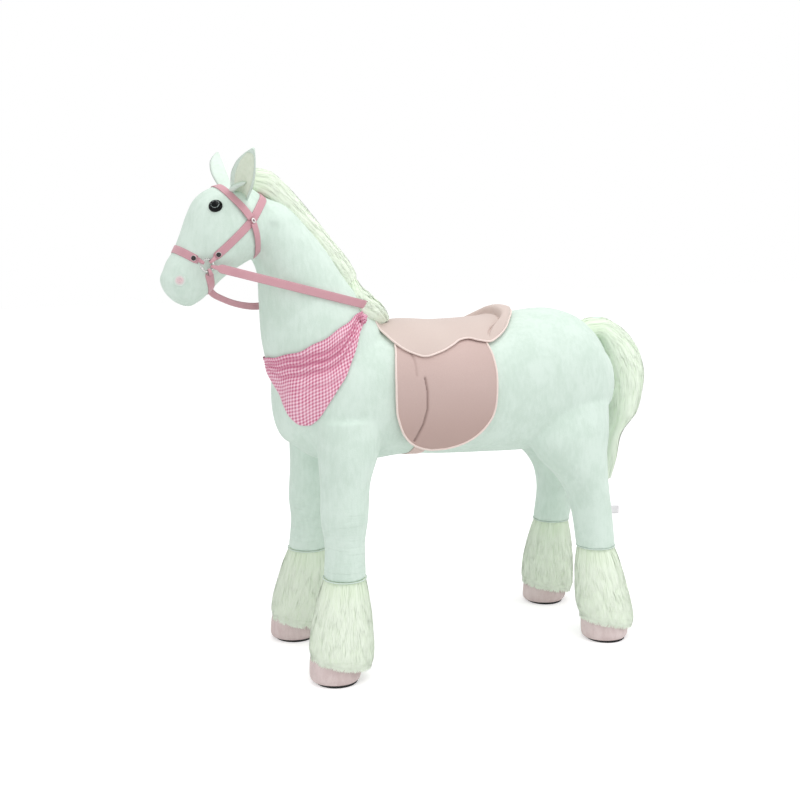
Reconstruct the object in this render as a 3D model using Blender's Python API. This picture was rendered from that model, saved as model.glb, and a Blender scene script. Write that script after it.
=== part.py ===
"""A plush pony to ride on, standing on four legs, with its saddle, bridle, reins and neckerchief.

Metres, +Z up. The muzzle points to -X and the pony's left side is at -Y. The origin lies on the floor,
under the middle of the pony. Angles round a form start at its top (or front) and grow towards +Y.
"""
import math

import bmesh
import bpy
import numpy as np
from mathutils import Matrix, Vector
from mathutils.bvhtree import BVHTree

# Fits and cuts
FIT_GAP = 0.0003
STRAP_GAP = 0.0006
CUT_OVERRUN = 0.03
RAY_LENGTH = 0.5
NORMAL_STEP_SHARE = 0.002
BISECTIONS = 24

# Torso
BELLY_HEIGHT = 0.435
TORSO_DEPTH = 0.337
TORSO_HALF_WIDTH = 0.150
TORSO_FRONT_X = -0.313
TORSO_LENGTH = 0.760
CHEST_ROUND = 0.026
RUMP_ROUND = 0.028
TORSO_RINGS = 12
TORSO_SIDES = 16
TORSO_FULLNESS = 2.25
# along the torso, top, bottom, half width
TORSO_SHARES = (
    (0.00, 0.780, 0.200, 0.62),
    (0.07, 0.880, 0.090, 0.82),
    (0.18, 0.930, 0.045, 0.93),
    (0.34, 0.930, 0.070, 0.97),
    (0.46, 0.910, 0.050, 0.98),
    (0.60, 0.930, 0.035, 0.99),
    (0.72, 0.980, 0.025, 1.00),
    (0.83, 1.000, 0.030, 0.99),
    (0.90, 0.965, 0.060, 0.94),
    (0.96, 0.870, 0.130, 0.83),
    (1.00, 0.730, 0.230, 0.66),
)

# Neck, in a box that starts at the front of its root
NECK_FRONT_X = -0.389
NECK_BOX_LENGTH = 0.360
NECK_BASE_HEIGHT = 0.560
NECK_BOX_HEIGHT = 0.470
NECK_HALF_WIDTH = 0.115
NECK_TOP_ROUND = 0.02
NECK_RINGS = 9
NECK_SIDES = 16
NECK_FULLNESS = 2.1
# how far along, front x, front z, rear x, rear z, half width
NECK_SHARES = (
    (0.00, 0.180, 0.000, 0.910, 0.290, 1.00),
    (0.18, 0.110, 0.190, 0.786, 0.419, 0.96),
    (0.36, 0.060, 0.380, 0.680, 0.520, 0.84),
    (0.52, 0.050, 0.530, 0.560, 0.630, 0.72),
    (0.66, 0.045, 0.640, 0.455, 0.750, 0.64),
    (0.80, 0.010, 0.720, 0.335, 0.860, 0.59),
    (0.92, -0.060, 0.790, 0.190, 0.965, 0.56),
    (1.00, -0.130, 0.840, 0.100, 0.990, 0.48),
)

# Head, along an axis that slopes down from the poll to the lips
POLL_X = -0.367
POLL_HEIGHT = 0.999
HEAD_SLOPE_DEG = 43.0
HEAD_LENGTH = 0.235
HEAD_DEPTH = 0.165
HEAD_HALF_WIDTH = 0.088
HEAD_BACK_ROUND = 0.022
MUZZLE_ROUND = 0.028
HEAD_RINGS = 11
HEAD_SIDES = 16
# along the head, forehead side, jaw side, half width
HEAD_SHARES = (
    (0.00, 0.440, 0.375, 0.64),
    (0.10, 0.575, 0.400, 0.80),
    (0.22, 0.660, 0.390, 0.92),
    (0.36, 0.680, 0.340, 0.99),
    (0.50, 0.610, 0.290, 0.97),
    (0.65, 0.505, 0.255, 0.84),
    (0.81, 0.410, 0.255, 0.71),
    (0.92, 0.375, 0.260, 0.66),
    (1.00, 0.320, 0.240, 0.59),
)

# Ears
EAR_LENGTH = 0.130
EAR_WIDTH = 0.052
EAR_CUP = 0.016
EAR_THICKNESS = 0.006
EAR_ROOT_SINK = 0.018
EAR_ALONG_SHARE = 0.03
EAR_ROUND_DEG = 42.0
EAR_SPLAY_DEG = 50.0
EAR_BACK_DEG = -2.0
EAR_TURN_DEG = 56.0
EAR_RINGS = 7
EAR_STRIPS = 4
EAR_EDGE_SHARE = 0.7
# up the ear, width
EAR_SHARES = ((0.00, 0.62), (0.25, 0.86), (0.50, 1.00), (0.72, 0.86), (0.88, 0.52), (1.00, 0.12))

# Legs, cuffs and hooves
LEG_ROOT_HEIGHT = 0.560
CUFF_TOP_HEIGHT = 0.222
LEG_ROOT_SPREAD = 0.092
FOOT_SPREAD = 0.145
LEG_RINGS = 6
LEG_SIDES = 14
FORE_FOOT_X = -0.259
HIND_FOOT_X = 0.417
FORELEG_HALF_DEPTH = 0.088
HINDLEG_HALF_DEPTH = 0.108
FORELEG_SWEEP = 0.055
HINDLEG_SWEEP = 0.090
HIND_STAGGER = 0.023
# down the leg, how far the centre lies off the foot, half depth, half width, stagger
FORELEG_SHARES = (
    (0.00, 1.00, 0.94, 0.58, 0.0),
    (0.24, 0.84, 0.74, 0.66, 0.0),
    (0.42, 0.68, 0.61, 0.60, 0.0),
    (0.62, 0.60, 0.585, 0.585, 0.0),
    (0.80, 0.57, 0.495, 0.50, 0.0),
    (1.00, 0.52, 0.515, 0.515, 0.0),
)
HINDLEG_SHARES = (
    (0.00, -0.70, 0.90, 0.48, 0.6),
    (0.22, -0.74, 0.94, 0.60, 0.8),
    (0.36, -0.62, 0.80, 0.58, 0.9),
    (0.50, -0.34, 0.590, 0.525, 1.0),
    (0.62, -0.19, 0.485, 0.470, 0.95),
    (0.78, -0.10, 0.435, 0.435, 0.80),
    (1.00, -0.09, 0.420, 0.420, 0.50),
)
CUFF_BACK_SHARE = 0.15
CUFF_HEM_HEIGHT = 0.046
CUFF_HEM_SLOPE_HEIGHT = 0.026
FORE_CUFF_HALF_DEPTH = 0.067
HIND_CUFF_HALF_DEPTH = 0.064
CUFF_FLARE_BACK = 0.010
CUFF_RINGS = 4
CUFF_SIDES = 12
# down the cuff, half depth, how much of the hem's slope and flare
CUFF_SHARES = (
    (0.00, 0.70, 0.00),
    (0.20, 0.80, 0.10),
    (0.45, 0.91, 0.25),
    (0.75, 0.985, 0.60),
    (0.93, 0.97, 0.92),
    (1.00, 0.90, 1.00),
)
HOOF_HEIGHT = 0.088
HOOF_RADIUS = 0.053
HOOF_TOE = 0.006
HOOF_SIDES = 12
# up the hoof, radius
HOOF_SHARES = ((0.00, 0.90), (0.16, 0.99), (0.45, 0.99), (0.80, 0.87), (1.00, 0.70))
SOLE_THICKNESS = 0.006
SOLE_RADIUS = 0.046

# Mane and tail
MANE_HALF_WIDTH = 0.017
MANE_ROUND = 0.012
MANE_RINGS = 12
MANE_SIDES = 8
# along the mane, outer x, outer z, inner x, inner z in the neck's box, half width
MANE_SHARES = (
    (0.00, 0.645, 0.585, 0.589, 0.545, 0.50),
    (0.06, 0.653, 0.634, 0.550, 0.585, 0.85),
    (0.16, 0.606, 0.702, 0.500, 0.649, 1.00),
    (0.34, 0.497, 0.804, 0.411, 0.734, 1.00),
    (0.58, 0.333, 0.953, 0.264, 0.862, 1.00),
    (0.76, 0.203, 1.060, 0.147, 0.962, 1.00),
    (0.90, 0.111, 1.113, 0.078, 1.000, 0.95),
    (1.00, 0.036, 1.126, 0.017, 1.021, 0.80),
)
TAIL_ROOT_X = 0.417
TAIL_ROOT_HEIGHT = 0.722
TAIL_BOX_LENGTH = 0.165
TAIL_BOX_HEIGHT = 0.385
TAIL_HALF_WIDTH = 0.054
TAIL_DOCK_LENGTH = 0.062
TAIL_DOCK_RADIUS = 0.015
TAIL_DOCK_RISE_DEG = 12.0
TAIL_DOCK_SIDES = 16
TAIL_PLAY = 0.0006
TAIL_ROUND = 0.010
TAIL_RINGS = 9
TAIL_SIDES = 10
# down the tail, outer x, outer z, inner x, inner z, half width
TAIL_SHARES = (
    (0.00, 0.300, -0.075, 0.270, 0.040, 0.42),
    (0.12, 0.560, -0.030, 0.420, 0.130, 0.64),
    (0.26, 0.820, 0.070, 0.490, 0.240, 0.85),
    (0.40, 0.970, 0.200, 0.520, 0.340, 0.96),
    (0.52, 1.000, 0.330, 0.505, 0.440, 1.00),
    (0.65, 0.930, 0.470, 0.470, 0.550, 0.94),
    (0.76, 0.790, 0.600, 0.440, 0.670, 0.80),
    (0.86, 0.650, 0.730, 0.410, 0.780, 0.62),
    (0.94, 0.550, 0.860, 0.385, 0.890, 0.42),
    (1.00, 0.480, 0.960, 0.365, 0.975, 0.24),
)

# Saddle, laid over the torso
SADDLE_FRONT_X = -0.110
SADDLE_LENGTH = 0.330
SKIRT_EDGE_DEG = 57.0
SKIRT_THICKNESS = 0.009
SEAT_PADDING = 0.006
CANTLE_HEIGHT = 0.020
CROWN_POWER = 0.8
SADDLE_MARGIN_DEG = 1.6
ROOT_STEP_SHARE = 0.12
SEAT_RINGS = 14
SEAT_STRIPS = 10
ROOT_STRIPS = 2
# along the saddle, skirt edge, padding, rise of the cantle
SKIRT_SHARES = (
    (0.000, 0.67, 0.00, 0.00),
    (0.055, 0.84, 0.15, 0.00),
    (0.110, 0.93, 0.40, 0.00),
    (0.194, 1.00, 0.80, 0.00),
    (0.312, 0.91, 1.00, 0.00),
    (0.420, 0.77, 1.00, 0.00),
    (0.490, 0.67, 1.00, 0.00),
    (0.545, 0.65, 0.90, 0.05),
    (0.620, 0.72, 0.70, 0.18),
    (0.694, 0.77, 0.50, 0.38),
    (0.755, 0.71, 0.30, 0.60),
    (0.855, 0.54, 0.00, 1.00),
    (0.912, 0.38, 0.00, 1.00),
    (0.960, 0.24, 0.00, 0.70),
    (1.000, 0.10, 0.00, 0.10),
)
FLAP_HINGE_HEIGHT = 0.680
FLAP_FRONT_X = -0.125
FLAP_WIDTH = 0.245
FLAP_HEIGHT = 0.195
FLAP_THICKNESS = 0.004
FLAP_HANG_SHARE = 0.5
FLAP_ROWS = 12
FLAP_STRIPS = 6
# down the flap from its hinge, front edge, rear edge
FLAP_SHARES = (
    (0.000, 0.045, 0.985),
    (0.160, 0.025, 0.990),
    (0.360, 0.020, 0.985),
    (0.520, 0.025, 0.975),
    (0.640, 0.050, 0.950),
    (0.760, 0.090, 0.890),
    (0.860, 0.150, 0.810),
    (0.930, 0.225, 0.720),
    (0.975, 0.310, 0.620),
    (1.000, 0.390, 0.520),
)
GIRTH_X = -0.041
GIRTH_WIDTH = 0.034
GIRTH_THICKNESS = 0.002

# Bridle. Each strap runs round a core inside the head, in a plane that holds the Y axis
STRAP_WIDTH = 0.019
STRAP_THICKNESS = 0.0022
STRAP_SINK = 0.0015
STRAP_STEPS = 16
RING_RADIUS = 0.0125
RING_WIRE_RADIUS = 0.0018
RING_STAND_OFF = 0.011
RING_SEGMENTS = 24
RING_WIRE_SEGMENTS = 8
LOOP_WIDTH = 0.0064
LOOP_PLAY = 0.0009
LOOP_LEAD = 0.010
LOOP_TAIL = 0.003
LOOP_STEPS = 6
SNAP_RADIUS = 0.0050
SNAP_HEIGHT = 0.0026
SNAP_OFF_RING = 0.023
RIVET_RADIUS = 0.0060
RIVET_HEIGHT = 0.0022
STUD_SHANK_RADIUS = 0.0014
STUD_PLAY = 0.0008
STUD_SIDES = 12
RING_ALONG_SHARE = 0.728
RING_ROUND_DEG = 92.0
JUNCTION_ALONG_SHARE = 0.180
JUNCTION_ROUND_DEG = 94.0
NOSE_ALONG_SHARE = 0.79
CHIN_ALONG_SHARE = 0.88
BROW_ALONG_SHARE = 0.14
THROAT_ALONG_SHARE = 0.33
CROWN_RISE_DEG = 52.0
JUNCTION_LIFT_DEG = 44.0
CROSSING_HEIGHT = 0.0042
CHEEK_STEPS = 7
SNAP_INSET_DEG = 7.0
CAP_EDGE_SHARE = 0.4
CAP_TOP_SHARE = 0.55

# Reins, laid taut round the neck
REIN_UP_SHARE = 0.28
REIN_CORE_SHARE = 0.75
REIN_LIFT_DEG = 10.0
REIN_LIFT_STEPS = 3
REIN_CLEARANCE = 0.004
REIN_FAN_STEPS = 14
REIN_SIDE_STEPS = 14
REIN_POINTS = 20
REIN_CREST_LIFT = 0.003
REIN_SLACK_LOOP_DEG = 16.0
# along the slack right side, how many degrees it hangs under the taut line
REIN_SLACK = (
    (0.00, 8.0),
    (0.10, 30.0),
    (0.15, 40.0),
    (0.21, 39.0),
    (0.25, 35.0),
    (0.33, 28.0),
    (0.42, 20.5),
    (0.55, 9.0),
    (0.66, 3.0),
    (0.75, 0.0),
    (1.00, 0.0),
)

# Neckerchief
KERCHIEF_THICKNESS = 0.0032
KERCHIEF_SINK = 0.002
KERCHIEF_TIP_HEIGHT = 0.550
KERCHIEF_HEIGHT = 0.250
KERCHIEF_AXIS_X = -0.241
KERCHIEF_RAY_LENGTH = 0.190
KERCHIEF_FOLD = 0.0030
KERCHIEF_FOLDS = 8
KERCHIEF_FOLD_LEAN = 1.6
KERCHIEF_STRIPS = 36
KERCHIEF_ROWS = 3
KNOT_ROUND_DEG = 131.0
KNOT_UP_SHARE = 0.5
KNOT_RADIUS = 0.011
KNOT_HEIGHT = 0.0062
KNOT_SIDES = 12
KNOT_DEGREES = (-60, -30, 0, 30, 60)
# round the neck in half turns, the left positive, top edge, bottom edge
KERCHIEF_SHARES = (
    (-1.00, 0.935, 0.850),
    (-0.83, 0.920, 0.835),
    (-0.67, 0.880, 0.770),
    (-0.50, 0.780, 0.620),
    (-0.35, 0.660, 0.490),
    (-0.20, 0.588, 0.350),
    (0.00, 0.556, 0.200),
    (0.13, 0.584, 0.096),
    (0.20, 0.608, 0.040),
    (0.295, 0.650, 0.000),
    (0.35, 0.690, 0.018),
    (0.41, 0.730, 0.120),
    (0.46, 0.768, 0.250),
    (0.55, 0.840, 0.456),
    (0.62, 0.884, 0.624),
    (0.67, 0.908, 0.750),
    (0.81, 0.925, 0.840),
    (1.00, 0.935, 0.850),
)

# Eyes
EYE_RADIUS = 0.0142
EYE_DOME = 0.008
EYE_SINK = 0.004
EYE_ALONG_SHARE = 0.313
EYE_ROUND_DEG = 48.0
EYE_SHANK_RADIUS = 0.003
EYE_SHANK_LENGTH = 0.016
EYE_SIDES = 14
EYE_DOME_DEGREES = (0, 25, 50, 72)
WASHER_RADIUS = 0.010
WASHER_THICKNESS = 0.0025
WASHER_DEPTH = 0.011

# Blank sewn tag
TAG_WIDTH = 0.020
TAG_LENGTH = 0.028
TAG_SINK = 0.008
TAG_THICKNESS = 0.001
TAG_HEIGHT = 0.300

# Steel frame
SPINE_WIDTH = 0.060
SPINE_HEIGHT = 0.030
SPINE_COVER = 0.100
SPINE_OVERHANG = 0.030
CROSS_SIZE = 0.030
CROSS_OVERHANG = 0.020
FRAME_TUBE_RADIUS = 0.0125
FRAME_TUBE_SIDES = 8
FRAME_LEG_SPREAD = 0.080
FRAME_FORE_X = -0.213
FRAME_HIND_X = 0.379
FOOT_DISC_RADIUS = 0.038
FOOT_DISC_THICKNESS = 0.006
NECK_POST_FOOT_X = -0.219
NECK_POST_TOP_X = -0.389
NECK_POST_TOP_HEIGHT = 0.985
SEAT_BOARD_LENGTH = 0.240
SEAT_BOARD_WIDTH = 0.130
SEAT_BOARD_THICKNESS = 0.012
SEAT_BOARD_X = 0.039

for thing in list(bpy.data.objects):
    bpy.data.objects.remove(thing, do_unlink=True)


# Finishes

def channel(value):
    """One sRGB channel, 0 to 255, as linear light."""
    level = value / 255
    return level / 12.92 if level <= 0.04045 else ((level + 0.055) / 1.055) ** 2.4


def finish(name, colour, roughness, metallic=0.0):
    """A plain Principled material in an sRGB colour."""
    made = bpy.data.materials.new(name)
    made.use_nodes = True
    shader = made.node_tree.nodes["Principled BSDF"]
    linear = [channel(value) for value in colour]
    shader.inputs["Base Color"].default_value = (*linear, 1.0)
    shader.inputs["Roughness"].default_value = roughness
    shader.inputs["Metallic"].default_value = metallic
    made.diffuse_color = (*linear, 1.0)
    return made


PLUSH = finish("white_plush", (226, 238, 231), 0.95)
LONG_FUR = finish("cream_long_fur", (228, 236, 220), 0.95)
EAR_PLUSH = finish("ear_plush", (226, 232, 220), 0.95)
PINK_PLUSH = finish("pale_pink_plush", (226, 211, 208), 0.9)
SADDLE_SUEDE = finish("pink_suede", (224, 200, 194), 0.85)
STRAP_PINK = finish("pink_webbing", (206, 152, 161), 0.7)
GINGHAM = finish("pink_cotton", (233, 178, 193), 0.9)
EYE_BLACK = finish("black_glass", (12, 14, 14), 0.08)
SNAP_BLACK = finish("black_snap", (26, 22, 24), 0.35)
SNAP_WHITE = finish("white_snap", (240, 236, 232), 0.35)
STEEL = finish("nickel_steel", (188, 188, 186), 0.25, 1.0)
FRAME_STEEL = finish("grey_painted_steel", (92, 96, 100), 0.5, 0.8)
RUBBER = finish("black_rubber", (24, 24, 25), 0.8)
PLYWOOD = finish("plywood", (196, 160, 112), 0.7)
WASHER_PLASTIC = finish("white_plastic", (232, 232, 228), 0.4)
TAG_SATIN = finish("white_satin", (238, 236, 238), 0.5)


# Reading tables

class Curve:
    """A table read along its first column, on a smooth curve that never overshoots its rows."""

    def __init__(self, rows):
        table = np.array(rows, dtype=float)
        self.at = table[:, 0]
        self.values = table[:, 1:]
        rise = np.diff(self.values, axis=0) / np.diff(self.at)[:, None]
        product = rise[:-1] * rise[1:]
        total = np.where(product > 0, rise[:-1] + rise[1:], 1.0)
        inner = np.where(product > 0, 2 * product / total, 0.0)
        self.slopes = np.vstack([rise[:1], inner, rise[-1:]])

    def __call__(self, where):
        where = min(max(where, self.at[0]), self.at[-1])
        row = min(int(np.searchsorted(self.at, where, side="right")) - 1, len(self.at) - 2)
        span = self.at[row + 1] - self.at[row]
        part = (where - self.at[row]) / span
        back = 1 - part
        start = self.values[row] * (1 + 2 * part) + self.slopes[row] * span * part
        end = self.values[row + 1] * (1 + 2 * back) - self.slopes[row + 1] * span * back
        return start * back * back + end * part * part


def rounded(value, power):
    """A cosine or sine made fuller, for ovals with flatter sides."""
    return math.copysign(abs(value) ** power, value)


# Making meshes

def new_object(name, mesh, material, smooth_angle_deg=40):
    """An object with one material, shaded smooth over its soft edges."""
    mesh.materials.append(material)
    mesh.shade_smooth()
    mesh.set_sharp_from_angle(angle=math.radians(smooth_angle_deg))
    made = bpy.data.objects.new(name, mesh)
    bpy.context.scene.collection.objects.link(made)
    return made


def closed_mesh(name, points, faces):
    """A mesh from points and faces, with its faces turned outwards."""
    shape = bmesh.new()
    verts = [shape.verts.new(point) for point in points]
    for face in faces:
        shape.faces.new([verts[index] for index in face])
    bmesh.ops.recalc_face_normals(shape, faces=shape.faces)
    mesh = bpy.data.meshes.new(name)
    shape.to_mesh(mesh)
    shape.free()
    return mesh


def skin(rings, start_point=None, end_point=None, endless=False):
    """Points and faces of a tube through rings of equal count, closed by a point, a flat face or itself.

    Its triangles mirror those of the other half, and a grown cutter's always match its body's.
    """
    count = len(rings[0])
    points = [point for ring in rings for point in ring]
    faces = []
    for row in range(len(rings) if endless else len(rings) - 1):
        ahead = (row + 1) % len(rings) * count
        for side in range(count):
            beside = (side + 1) % count
            corners = (row * count + side, row * count + beside, ahead + beside, ahead + side)
            turned = corners if side < count / 2 else corners[1:] + corners[:1]
            faces += [turned[:3], turned[2:] + turned[:1]]
    if endless:
        return points, faces
    for tip, first in ((start_point, 0), (end_point, len(points) - count)):
        ring = range(first, first + count)
        if tip is None:
            faces.append(tuple(ring))
        else:
            points.append(tip)
            faces += [(first + side, first + (side + 1) % count, len(points) - 1) for side in range(count)]
    return points, faces


def slab(outer, inner):
    """Points and faces of a sheet between two grids of equal size, closed along its border."""
    rows, columns = len(outer), len(outer[0])
    points = [point for row in outer for point in row] + [point for row in inner for point in row]
    below = rows * columns
    faces = []
    for row in range(rows - 1):
        for column in range(columns - 1):
            corner = row * columns + column
            quad = (corner, corner + 1, corner + columns + 1, corner + columns)
            faces += [quad, tuple(index + below for index in reversed(quad))]
    border = [column for column in range(columns)]
    border += [row * columns + columns - 1 for row in range(1, rows)]
    border += [(rows - 1) * columns + column for column in range(columns - 2, -1, -1)]
    border += [row * columns for row in range(rows - 2, 0, -1)]
    for here, there in zip(border, border[1:] + border[:1]):
        faces.append((here, there, there + below, here + below))
    return points, faces


def cutter(name, points, faces):
    """A guide body that only cuts others."""
    made = bpy.data.objects.new(name, closed_mesh(name, points, faces))
    bpy.context.scene.collection.objects.link(made)
    made.hide_render = True
    made.display_type = 'WIRE'
    return made


def cut(body, tool):
    """Cut a body by another."""
    modifier = body.modifiers.new(tool.name, 'BOOLEAN')
    modifier.operation = 'DIFFERENCE'
    modifier.solver = 'EXACT'
    modifier.object = tool


def set_origin(body, point):
    """Move an object's origin to a point and leave its shape where it is."""
    body.data.transform(Matrix.Translation(-Vector(point)))
    body.location = point


def frame_of(axis):
    """Two unit vectors square to an axis and to each other."""
    first = axis.cross(Vector((0, 0, 1)))
    if first.length < NORMAL_STEP_SHARE:
        first = axis.cross(Vector((0, 1, 0)))
    first.normalize()
    return first, first.cross(axis).normalized()


def turned_rings(foot, axis, profile, sides):
    """Circles about an axis, from rows of distance along it and radius."""
    first, second = frame_of(axis)
    rings = []
    for along, radius in profile:
        centre = foot + axis * along
        turns = [2 * math.pi * side / sides for side in range(sides)]
        rings.append([centre + (first * math.cos(turn) + second * math.sin(turn)) * radius for turn in turns])
    return rings


def hoop(centre, axis, radius, wire_radius, segments, wire_segments):
    """Points and faces of a round ring of wire."""
    first, second = frame_of(axis)
    rings = []
    for segment in range(segments):
        turn = 2 * math.pi * segment / segments
        out = first * math.cos(turn) + second * math.sin(turn)
        bends = [2 * math.pi * step / wire_segments for step in range(wire_segments)]
        rings.append([centre + out * (radius + wire_radius * math.cos(bend)) + axis * wire_radius * math.sin(bend)
                      for bend in bends])
    return skin(rings, endless=True)


def box_between(low, high):
    """Points and faces of a box from its lowest to its highest corner."""
    ring = [(low[0], low[1]), (high[0], low[1]), (high[0], high[1]), (low[0], high[1])]
    return skin([[Vector((x, y, z)) for x, y in ring] for z in (low[2], high[2])])


# Stuffed forms

class Form:
    """A stuffed form: ovals across a spine in an X Z plane, with a round cap or a flat face at each end.

    A row holds where it lies, from 0 to 1, the oval's top x and z, bottom x and z, centre y and half width.
    """

    CAP_RINGS = 3

    def __init__(self, rows, start_round, end_round, rings, sides, fullness=2.0):
        self.curve = Curve(rows)
        self.rounds = (start_round, end_round)
        self.rings = rings
        self.sides = sides
        self.power = 2.0 / fullness

    def oval(self, where):
        """Centre, half axis to the top and half axis to +Y. Below 0 and above 1 lie the caps."""
        inside = min(max(where, 0.0), 1.0)
        top_x, top_z, low_x, low_z, middle, half = self.curve(inside)
        up = Vector((top_x - low_x, 0, top_z - low_z)) / 2
        centre = Vector(((top_x + low_x) / 2, middle, (top_z + low_z) / 2))
        side = Vector((0, half, 0))
        if where != inside:
            turn = abs(where - inside) * math.pi / 2
            centre += self.outward(inside) * self.rounds[int(inside)] * math.sin(turn)
            up *= math.cos(turn)
            side *= math.cos(turn)
        return centre, up, side

    def outward(self, end):
        """The way an end faces: square to its oval, away from the form."""
        centre, up, _ = self.oval(end)
        inner = self.oval(0.05 if end < 0.5 else 0.95)[0]
        way = Vector((up.z, 0, -up.x)).normalized()
        return way if way.dot(centre - inner) > 0 else -way

    def at(self, where, angle, offset=0.0):
        """A point on the skin, or off it by an offset."""
        centre, up, side = self.oval(where)
        point = centre + up * rounded(math.cos(angle), self.power) + side * rounded(math.sin(angle), self.power)
        return point + self.normal(where, angle) * offset if offset else point

    def normal(self, where, angle):
        """The way the skin faces at a point."""
        step = NORMAL_STEP_SHARE
        along = self.at(where + step, angle) - self.at(where - step, angle)
        round_it = self.at(where, angle + step) - self.at(where, angle - step)
        way = along.cross(round_it).normalized()
        out = self.at(where, angle) - self.oval(where)[0]
        return way if way.dot(out) > 0 else -way

    def skin(self, grow=0.0):
        """Points and faces, grown outwards for a cutter."""
        turns = [2 * math.pi * side / self.sides for side in range(self.sides)]
        caps = [step / self.CAP_RINGS for step in range(1, self.CAP_RINGS)]
        places = [-step for step in reversed(caps)] if self.rounds[0] else []
        places += [ring / self.rings for ring in range(self.rings + 1)]
        places += [1 + step for step in caps] if self.rounds[1] else []
        rings = [[self.at(place, turn, grow) for turn in turns] for place in places]
        tips = []
        for end, place in ((0, -1.0), (1, 2.0)):
            tip = self.oval(place)[0] + self.outward(float(end)) * grow
            tips.append(tip if self.rounds[end] else None)
            if not self.rounds[end] and grow:
                ring = 0 if end == 0 else -1
                rings[ring] = [point + self.outward(float(end)) * grow for point in rings[ring]]
        return skin(rings, *tips)

    def make(self, name, material):
        return new_object(name, closed_mesh(name, *self.skin()), material)

    def cutter(self, name):
        return cutter(name, *self.skin(FIT_GAP))

    def tree(self):
        points, faces = self.skin()
        return BVHTree.FromPolygons([tuple(point) for point in points], faces)


def torso_form():
    rows = []
    for along, top, bottom, half in TORSO_SHARES:
        x = TORSO_FRONT_X + along * TORSO_LENGTH
        rows.append((along, x, BELLY_HEIGHT + top * TORSO_DEPTH, x, BELLY_HEIGHT + bottom * TORSO_DEPTH,
                     0, half * TORSO_HALF_WIDTH))
    return Form(rows, CHEST_ROUND, RUMP_ROUND, TORSO_RINGS, TORSO_SIDES, TORSO_FULLNESS)


def neck_form():
    rows = []
    for along, front_x, front_z, rear_x, rear_z, half in NECK_SHARES:
        rows.append((along, NECK_FRONT_X + rear_x * NECK_BOX_LENGTH, NECK_BASE_HEIGHT + rear_z * NECK_BOX_HEIGHT,
                     NECK_FRONT_X + front_x * NECK_BOX_LENGTH, NECK_BASE_HEIGHT + front_z * NECK_BOX_HEIGHT,
                     0, half * NECK_HALF_WIDTH))
    return Form(rows, 0, NECK_TOP_ROUND, NECK_RINGS, NECK_SIDES, NECK_FULLNESS)


def head_form():
    slope = math.radians(HEAD_SLOPE_DEG)
    along_way = Vector((-math.cos(slope), 0, -math.sin(slope)))
    up_way = Vector((-math.sin(slope), 0, math.cos(slope)))
    poll = Vector((POLL_X, 0, POLL_HEIGHT))
    rows = []
    for along, top, bottom, half in HEAD_SHARES:
        middle = poll + along_way * along * HEAD_LENGTH
        high = middle + up_way * top * HEAD_DEPTH
        low = middle - up_way * bottom * HEAD_DEPTH
        rows.append((along, high.x, high.z, low.x, low.z, 0, half * HEAD_HALF_WIDTH))
    return Form(rows, HEAD_BACK_ROUND, MUZZLE_ROUND, HEAD_RINGS, HEAD_SIDES)


def leg_form(front, side):
    """A leg from inside the torso down to its fur cuff. Side is -1 on the pony's left."""
    table, foot, sweep, depth = (
        (FORELEG_SHARES, FORE_FOOT_X, FORELEG_SWEEP, FORELEG_HALF_DEPTH) if front else
        (HINDLEG_SHARES, HIND_FOOT_X, HINDLEG_SWEEP, HINDLEG_HALF_DEPTH))
    rows = []
    for down, off, half_depth, half_width, stagger in table:
        height = LEG_ROOT_HEIGHT + down * (CUFF_TOP_HEIGHT + FIT_GAP - LEG_ROOT_HEIGHT)
        middle = foot + off * sweep + side * stagger * HIND_STAGGER
        reach = half_depth * depth
        rows.append((down, middle - reach, height, middle + reach, height,
                     side * leg_spread(height), half_width * depth))
    return Form(rows, 0, 0, LEG_RINGS, LEG_SIDES)


def leg_spread(height):
    """How far a leg's middle lies off the pony's middle, at a height."""
    return FOOT_SPREAD + (LEG_ROOT_SPREAD - FOOT_SPREAD) * height / LEG_ROOT_HEIGHT


def cuff_form(front, side):
    """A long fur cuff, from under the knee to the hoof. Its hem hangs lower behind."""
    leg = leg_form(front, side)
    knee = leg.oval(1.0)[0]
    foot = FORE_FOOT_X if front else HIND_FOOT_X
    back_of_hoof = foot + (FORELEG_SWEEP if front else 0) * CUFF_BACK_SHARE
    rows = []
    for down, half_depth, hem in CUFF_SHARES:
        height = CUFF_TOP_HEIGHT + down * (CUFF_HEM_HEIGHT - CUFF_TOP_HEIGHT)
        middle = knee.x + (back_of_hoof - knee.x) * down
        reach = half_depth * (FORE_CUFF_HALF_DEPTH if front else HIND_CUFF_HALF_DEPTH)
        drop = hem * CUFF_HEM_SLOPE_HEIGHT / 2
        rows.append((down, middle - reach, height + drop, middle + reach + hem * CUFF_FLARE_BACK, height - drop,
                     side * leg_spread(height), reach))
    return Form(rows, 0, 0, CUFF_RINGS, CUFF_SIDES)


def hoof_rings(front, side, grow=0.0):
    """Level rings of a hoof from its flat bottom up, a little long at the toe."""
    foot = FORE_FOOT_X if front else HIND_FOOT_X
    base = SOLE_THICKNESS + FIT_GAP
    rings = []
    for up, radius_share in HOOF_SHARES:
        radius = radius_share * HOOF_RADIUS + grow
        height = base + up * (HOOF_HEIGHT - base)
        height += grow if up == 1 else -grow if up == 0 else 0
        toe = HOOF_TOE * (1 - up)
        ring = []
        for step in range(HOOF_SIDES):
            turn = 2 * math.pi * step / HOOF_SIDES
            stretch = radius + toe * max(-math.cos(turn), 0)
            ring.append(Vector((foot + stretch * math.cos(turn),
                                side * leg_spread(height) + radius * math.sin(turn), height)))
        rings.append(ring)
    return rings


# Steel frame

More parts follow.
